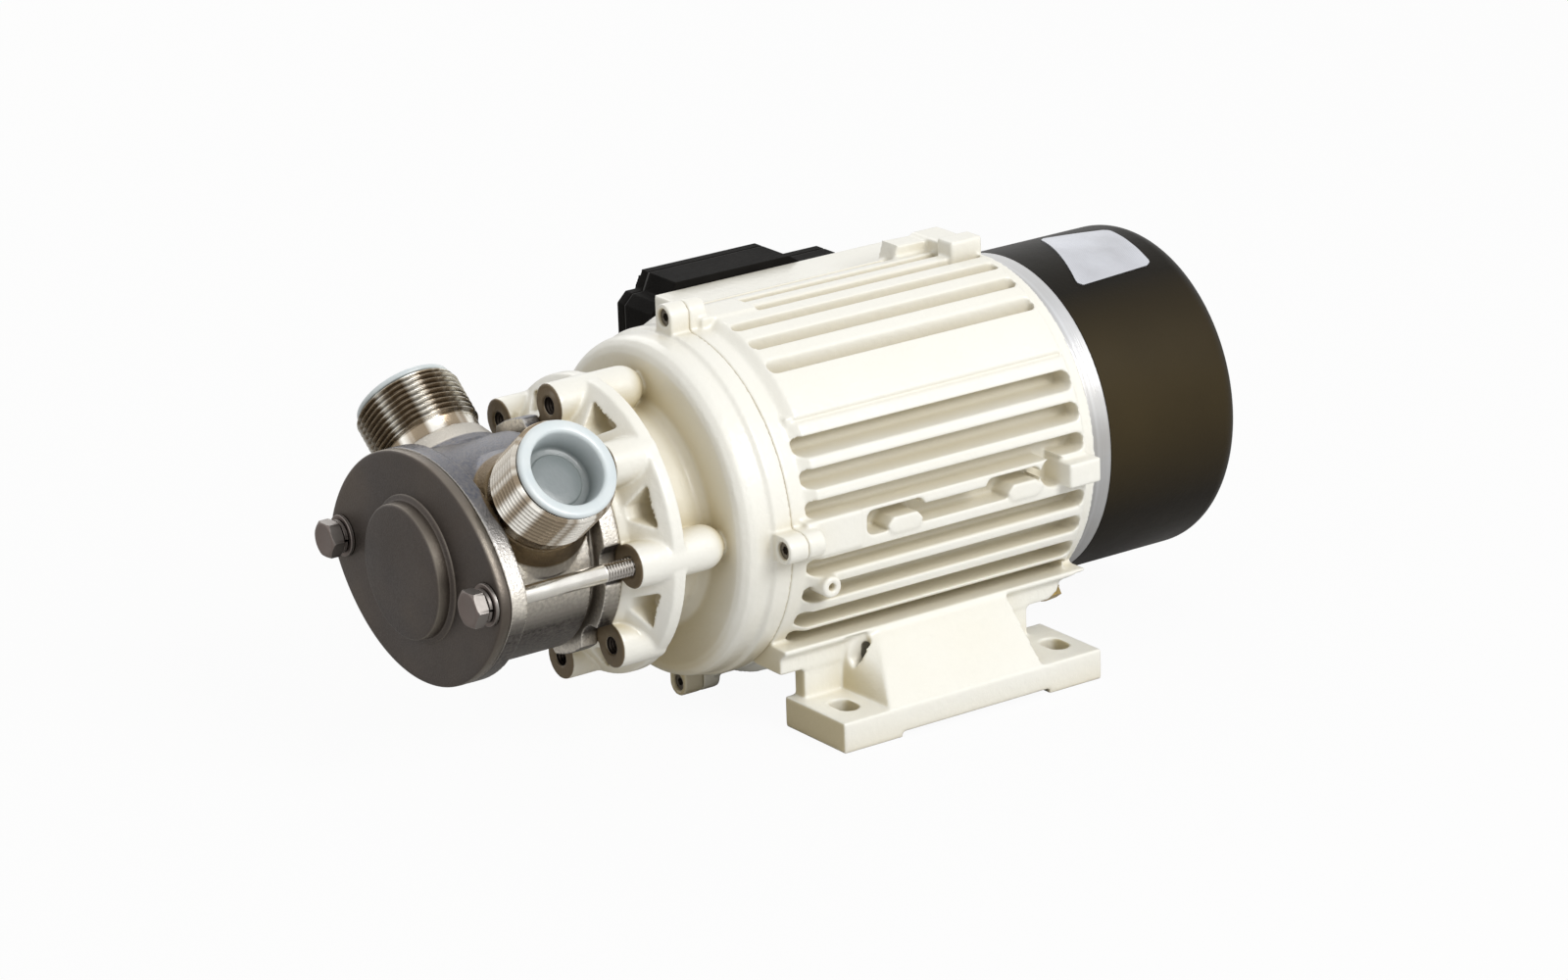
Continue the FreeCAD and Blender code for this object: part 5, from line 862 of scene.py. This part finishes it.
finish_piece("spring_washers", drawn(spring_washers, sharp=30), "pump_and_motor", screw_steel,
             ["cover_spring_washers"])

# Thread inserts: six steel sleeves with an inside thread, screwed into the free bosses of the shield;
# the other two bosses hold the long screws. They are painted near black as the shade in the holes.
SLEEVE = 3.4
SLEEVE_CREST = 2.75
SLEEVE_MOUTH = 3.25
FREE_BOSSES = (1, 2, 3, 5, 6, 7)    # eighths of a turn from the inlet side

# Painted shade: the inserts are near black, darker still in their recesses.
insert_steel = surface("hole_shade_insert_steel", (0.05, 0.04, 0.032), 0.4, 0.8)
feed(insert_steel, "Base Color", pattern(insert_steel, "recess", distance=0.003, full=0.9),
     (0.012, 0.009, 0.006, 1))
feed(insert_steel, "Roughness", pattern(insert_steel, "mottle", scale=600, share=0.8), 0.6)
relief(insert_steel, pattern(insert_steel, "grain", scale=2200), 0.00003)
inserts = []
for step in FREE_BOSSES:
    x, z = round_shaft(STUD_CIRCLE, math.radians(45 * step))
    axis = Matrix.Translation((x, 0, z)) @ Matrix.Rotation(math.radians(-90), 4, "X")
    profile = [(0, STUD_FACE + 14), (SLEEVE, STUD_FACE + 14), (SLEEVE, STUD_FACE + 0.5),
               (SLEEVE_MOUTH, STUD_FACE + 0.5)]
    first = STUD_FACE + 0.7
    for turn in range(70):
        place = first + turn * THREAD_PITCH / 8
        profile.append((thread(place, first, THREAD_PITCH, SLEEVE_CREST, SLEEVE_MOUTH, SLEEVE_MOUTH, 1.2), place))
    profile += [(2.8, STUD_FACE + 12), (0, STUD_FACE + 13)]
    inserts.append(spun(profile, axis, 48))
finish_piece("thread_inserts", drawn(inserts, sharp=30), "pump_and_motor", insert_steel)

# Port nipples: turned from stainless bar with an outside pipe thread and a smooth neck below it, and
# welded on the roots of the body. Valleys of the thread are painted dark as shade, and painted bands
# of reflection run round the thread.
ROOT = 44.0
MOUTH = 70.0
PIPE_START = 48.6
PIPE_PITCH = 2.309
PIPE_CREST = 20.95
PIPE_ROOT = 19.5
NECK = 19.6
BORE = 15.5
PORT_AXES = {
    side: Matrix.Translation((0, PORT, SHAFT)) @ Matrix.Rotation(side * PORT_LEAN, 4, "Y")
    for side in (1, -1)
}

# Painted reflection: a mask that changes with the angle round an axis, for bands on the threads.
tree, given, result = shader_group("reflection_bands", [
    ("Centre", "Vector", (0, 0, 0)), ("Axis", "Vector", (0, 0, 1)), ("Count", "Float", 2.2)], "Mask")
out = put(tree, "VectorMath", {0: put(tree, "TexCoord").outputs["Object"], 1: given["Centre"]},
          operation="SUBTRACT").outputs[0]
along = put(tree, "VectorMath", {0: out, 1: given["Axis"]}, operation="DOT_PRODUCT").outputs["Value"]
shadow = put(tree, "VectorMath", {0: given["Axis"], "Scale": along}, operation="SCALE").outputs[0]
flat = put(tree, "VectorMath", {0: out, 1: shadow}, operation="SUBTRACT").outputs[0]
ray = put(tree, "VectorMath", {0: flat}, operation="NORMALIZE").outputs[0]
noise = put(tree, "TexNoise", {"Vector": ray, "Scale": given["Count"], "Detail": 1.5})
spread = put(tree, "MapRange", {"Value": noise.outputs[0], "From Min": 0.42, "From Max": 0.58})
tree.links.new(spread.outputs[0], result)

for side, name in ((1, "inlet"), (-1, "outlet")):
    way = (side * math.sin(PORT_LEAN), 0, math.cos(PORT_LEAN))
    centre = (0, PORT * MM, SHAFT * MM)
    nipple_steel = surface(f"{name}_thread_steel", (0.9, 0.87, 0.8), 0.2, 1.0)
    # Painted reflection: darker bands round the port's axis.
    feed(nipple_steel, "Base Color", pattern(nipple_steel, "reflection_bands", centre=centre, axis=way, count=3.2),
         (0.3, 0.24, 0.17, 1))
    # Painted shade: the valleys of the thread are darkened.
    valley_shade = pattern(nipple_steel, "recess", distance=0.002, start=0.9, end=0.35, full=0.85)
    feed(nipple_steel, "Base Color", valley_shade, (0.03, 0.02, 0.012, 1))
    feed(nipple_steel, "Roughness", pattern(nipple_steel, "mottle", scale=300, share=0.7), 0.36)
    relief(nipple_steel, pattern(nipple_steel, "turning", centre=centre, axis=way, lines=3600), 0.00003)
    profile = [(BORE, ROOT), (NECK, ROOT), (NECK, PIPE_START)]
    rings = int((MOUTH - 0.1 - PIPE_START) / PIPE_PITCH * 12)
    for step in range(1, rings):
        place = PIPE_START + step * PIPE_PITCH / 12
        crest = min(PIPE_CREST, PIPE_CREST - (place - MOUTH + 1.3))
        root = min(PIPE_ROOT, crest)
        profile.append((thread(place, PIPE_START, PIPE_PITCH, crest, root, NECK, 1.6), place))
    profile += [(19.4, MOUTH - 0.05), (19.0, MOUTH), (16.2, MOUTH), (BORE, MOUTH - 0.6)]
    finish_piece(f"{name}_threaded_nipple", drawn([spun(profile, PORT_AXES[side], 160)], sharp=40),
                 "pump_and_motor", nipple_steel, [f"{name}_nipple"])

# Transport plugs: thin caps moulded in milky plastic and pressed into the ports, with a rounded lip
# on the mouth, a tapered cup and a shallow step in its bottom.
LIP_HEIGHT = 2.4
CUP_DEPTH = 11.4
seat = MOUTH + 0.3
lip = seat + LIP_HEIGHT
bottom = lip - CUP_DEPTH
for side, name in ((1, "inlet"), (-1, "outlet")):
    milky = surface(f"{name}_milky_plastic", (0.7, 0.755, 0.77), 0.28, 0.0,
                    {"Subsurface Weight": 0.12, "Subsurface Scale": 0.003, "Subsurface Radius": (1.0, 1.0, 1.0),
                     "Coat Weight": 0.2, "Coat Roughness": 0.15})
    way = (side * math.sin(PORT_LEAN), 0, math.cos(PORT_LEAN))
    start = SHAFT * way[2] + lip    # the lip's place along the port's direction
    feed(milky, "Base Color", pattern(milky, "mottle", scale=90, share=0.6), (0.58, 0.66, 0.7, 1))
    # Painted shade: the cup grows darker deeper into the port.
    feed(milky, "Base Color", pattern(milky, "behind", direction=way, place=(start - 0.6) * MM, depth=0.011),
         (0.17, 0.195, 0.2, 1))
    # Painted shade: recesses of the plug are darkened.
    feed(milky, "Base Color", pattern(milky, "recess", distance=0.01, full=0.6), (0.22, 0.245, 0.23, 1))
    feed(milky, "Roughness", pattern(milky, "mottle", scale=350, share=0.7), 0.4)
    relief(milky, pattern(milky, "grain", scale=700), 0.00006)
    profile = [(0, bottom - 1.6), (14.0, bottom - 1.6), (14.9, bottom - 1.2), (15.2, bottom),
               (15.2, seat), (18.9, seat), (19.3, seat + 0.3), (19.4, seat + 1.2), (19.2, lip - 0.5),
               (18.6, lip - 0.1), (17.8, lip), (15.6, lip), (15.0, lip - 0.15), (14.5, lip - 0.6),
               (14.2, lip - 1.5), (13.2, bottom + 1.0), (12.8, bottom + 0.35), (12.2, bottom + 0.1),
               (10.4, bottom), (10.1, bottom + 0.5), (9.5, bottom + 0.7), (5, bottom + 0.85),
               (0, bottom + 0.9)]
    finish_piece(f"{name}_transport_plug", drawn([spun(profile, PORT_AXES[side], 128)], sharp=50),
                 f"{name}_stopper", milky, [f"{name}_plug"])
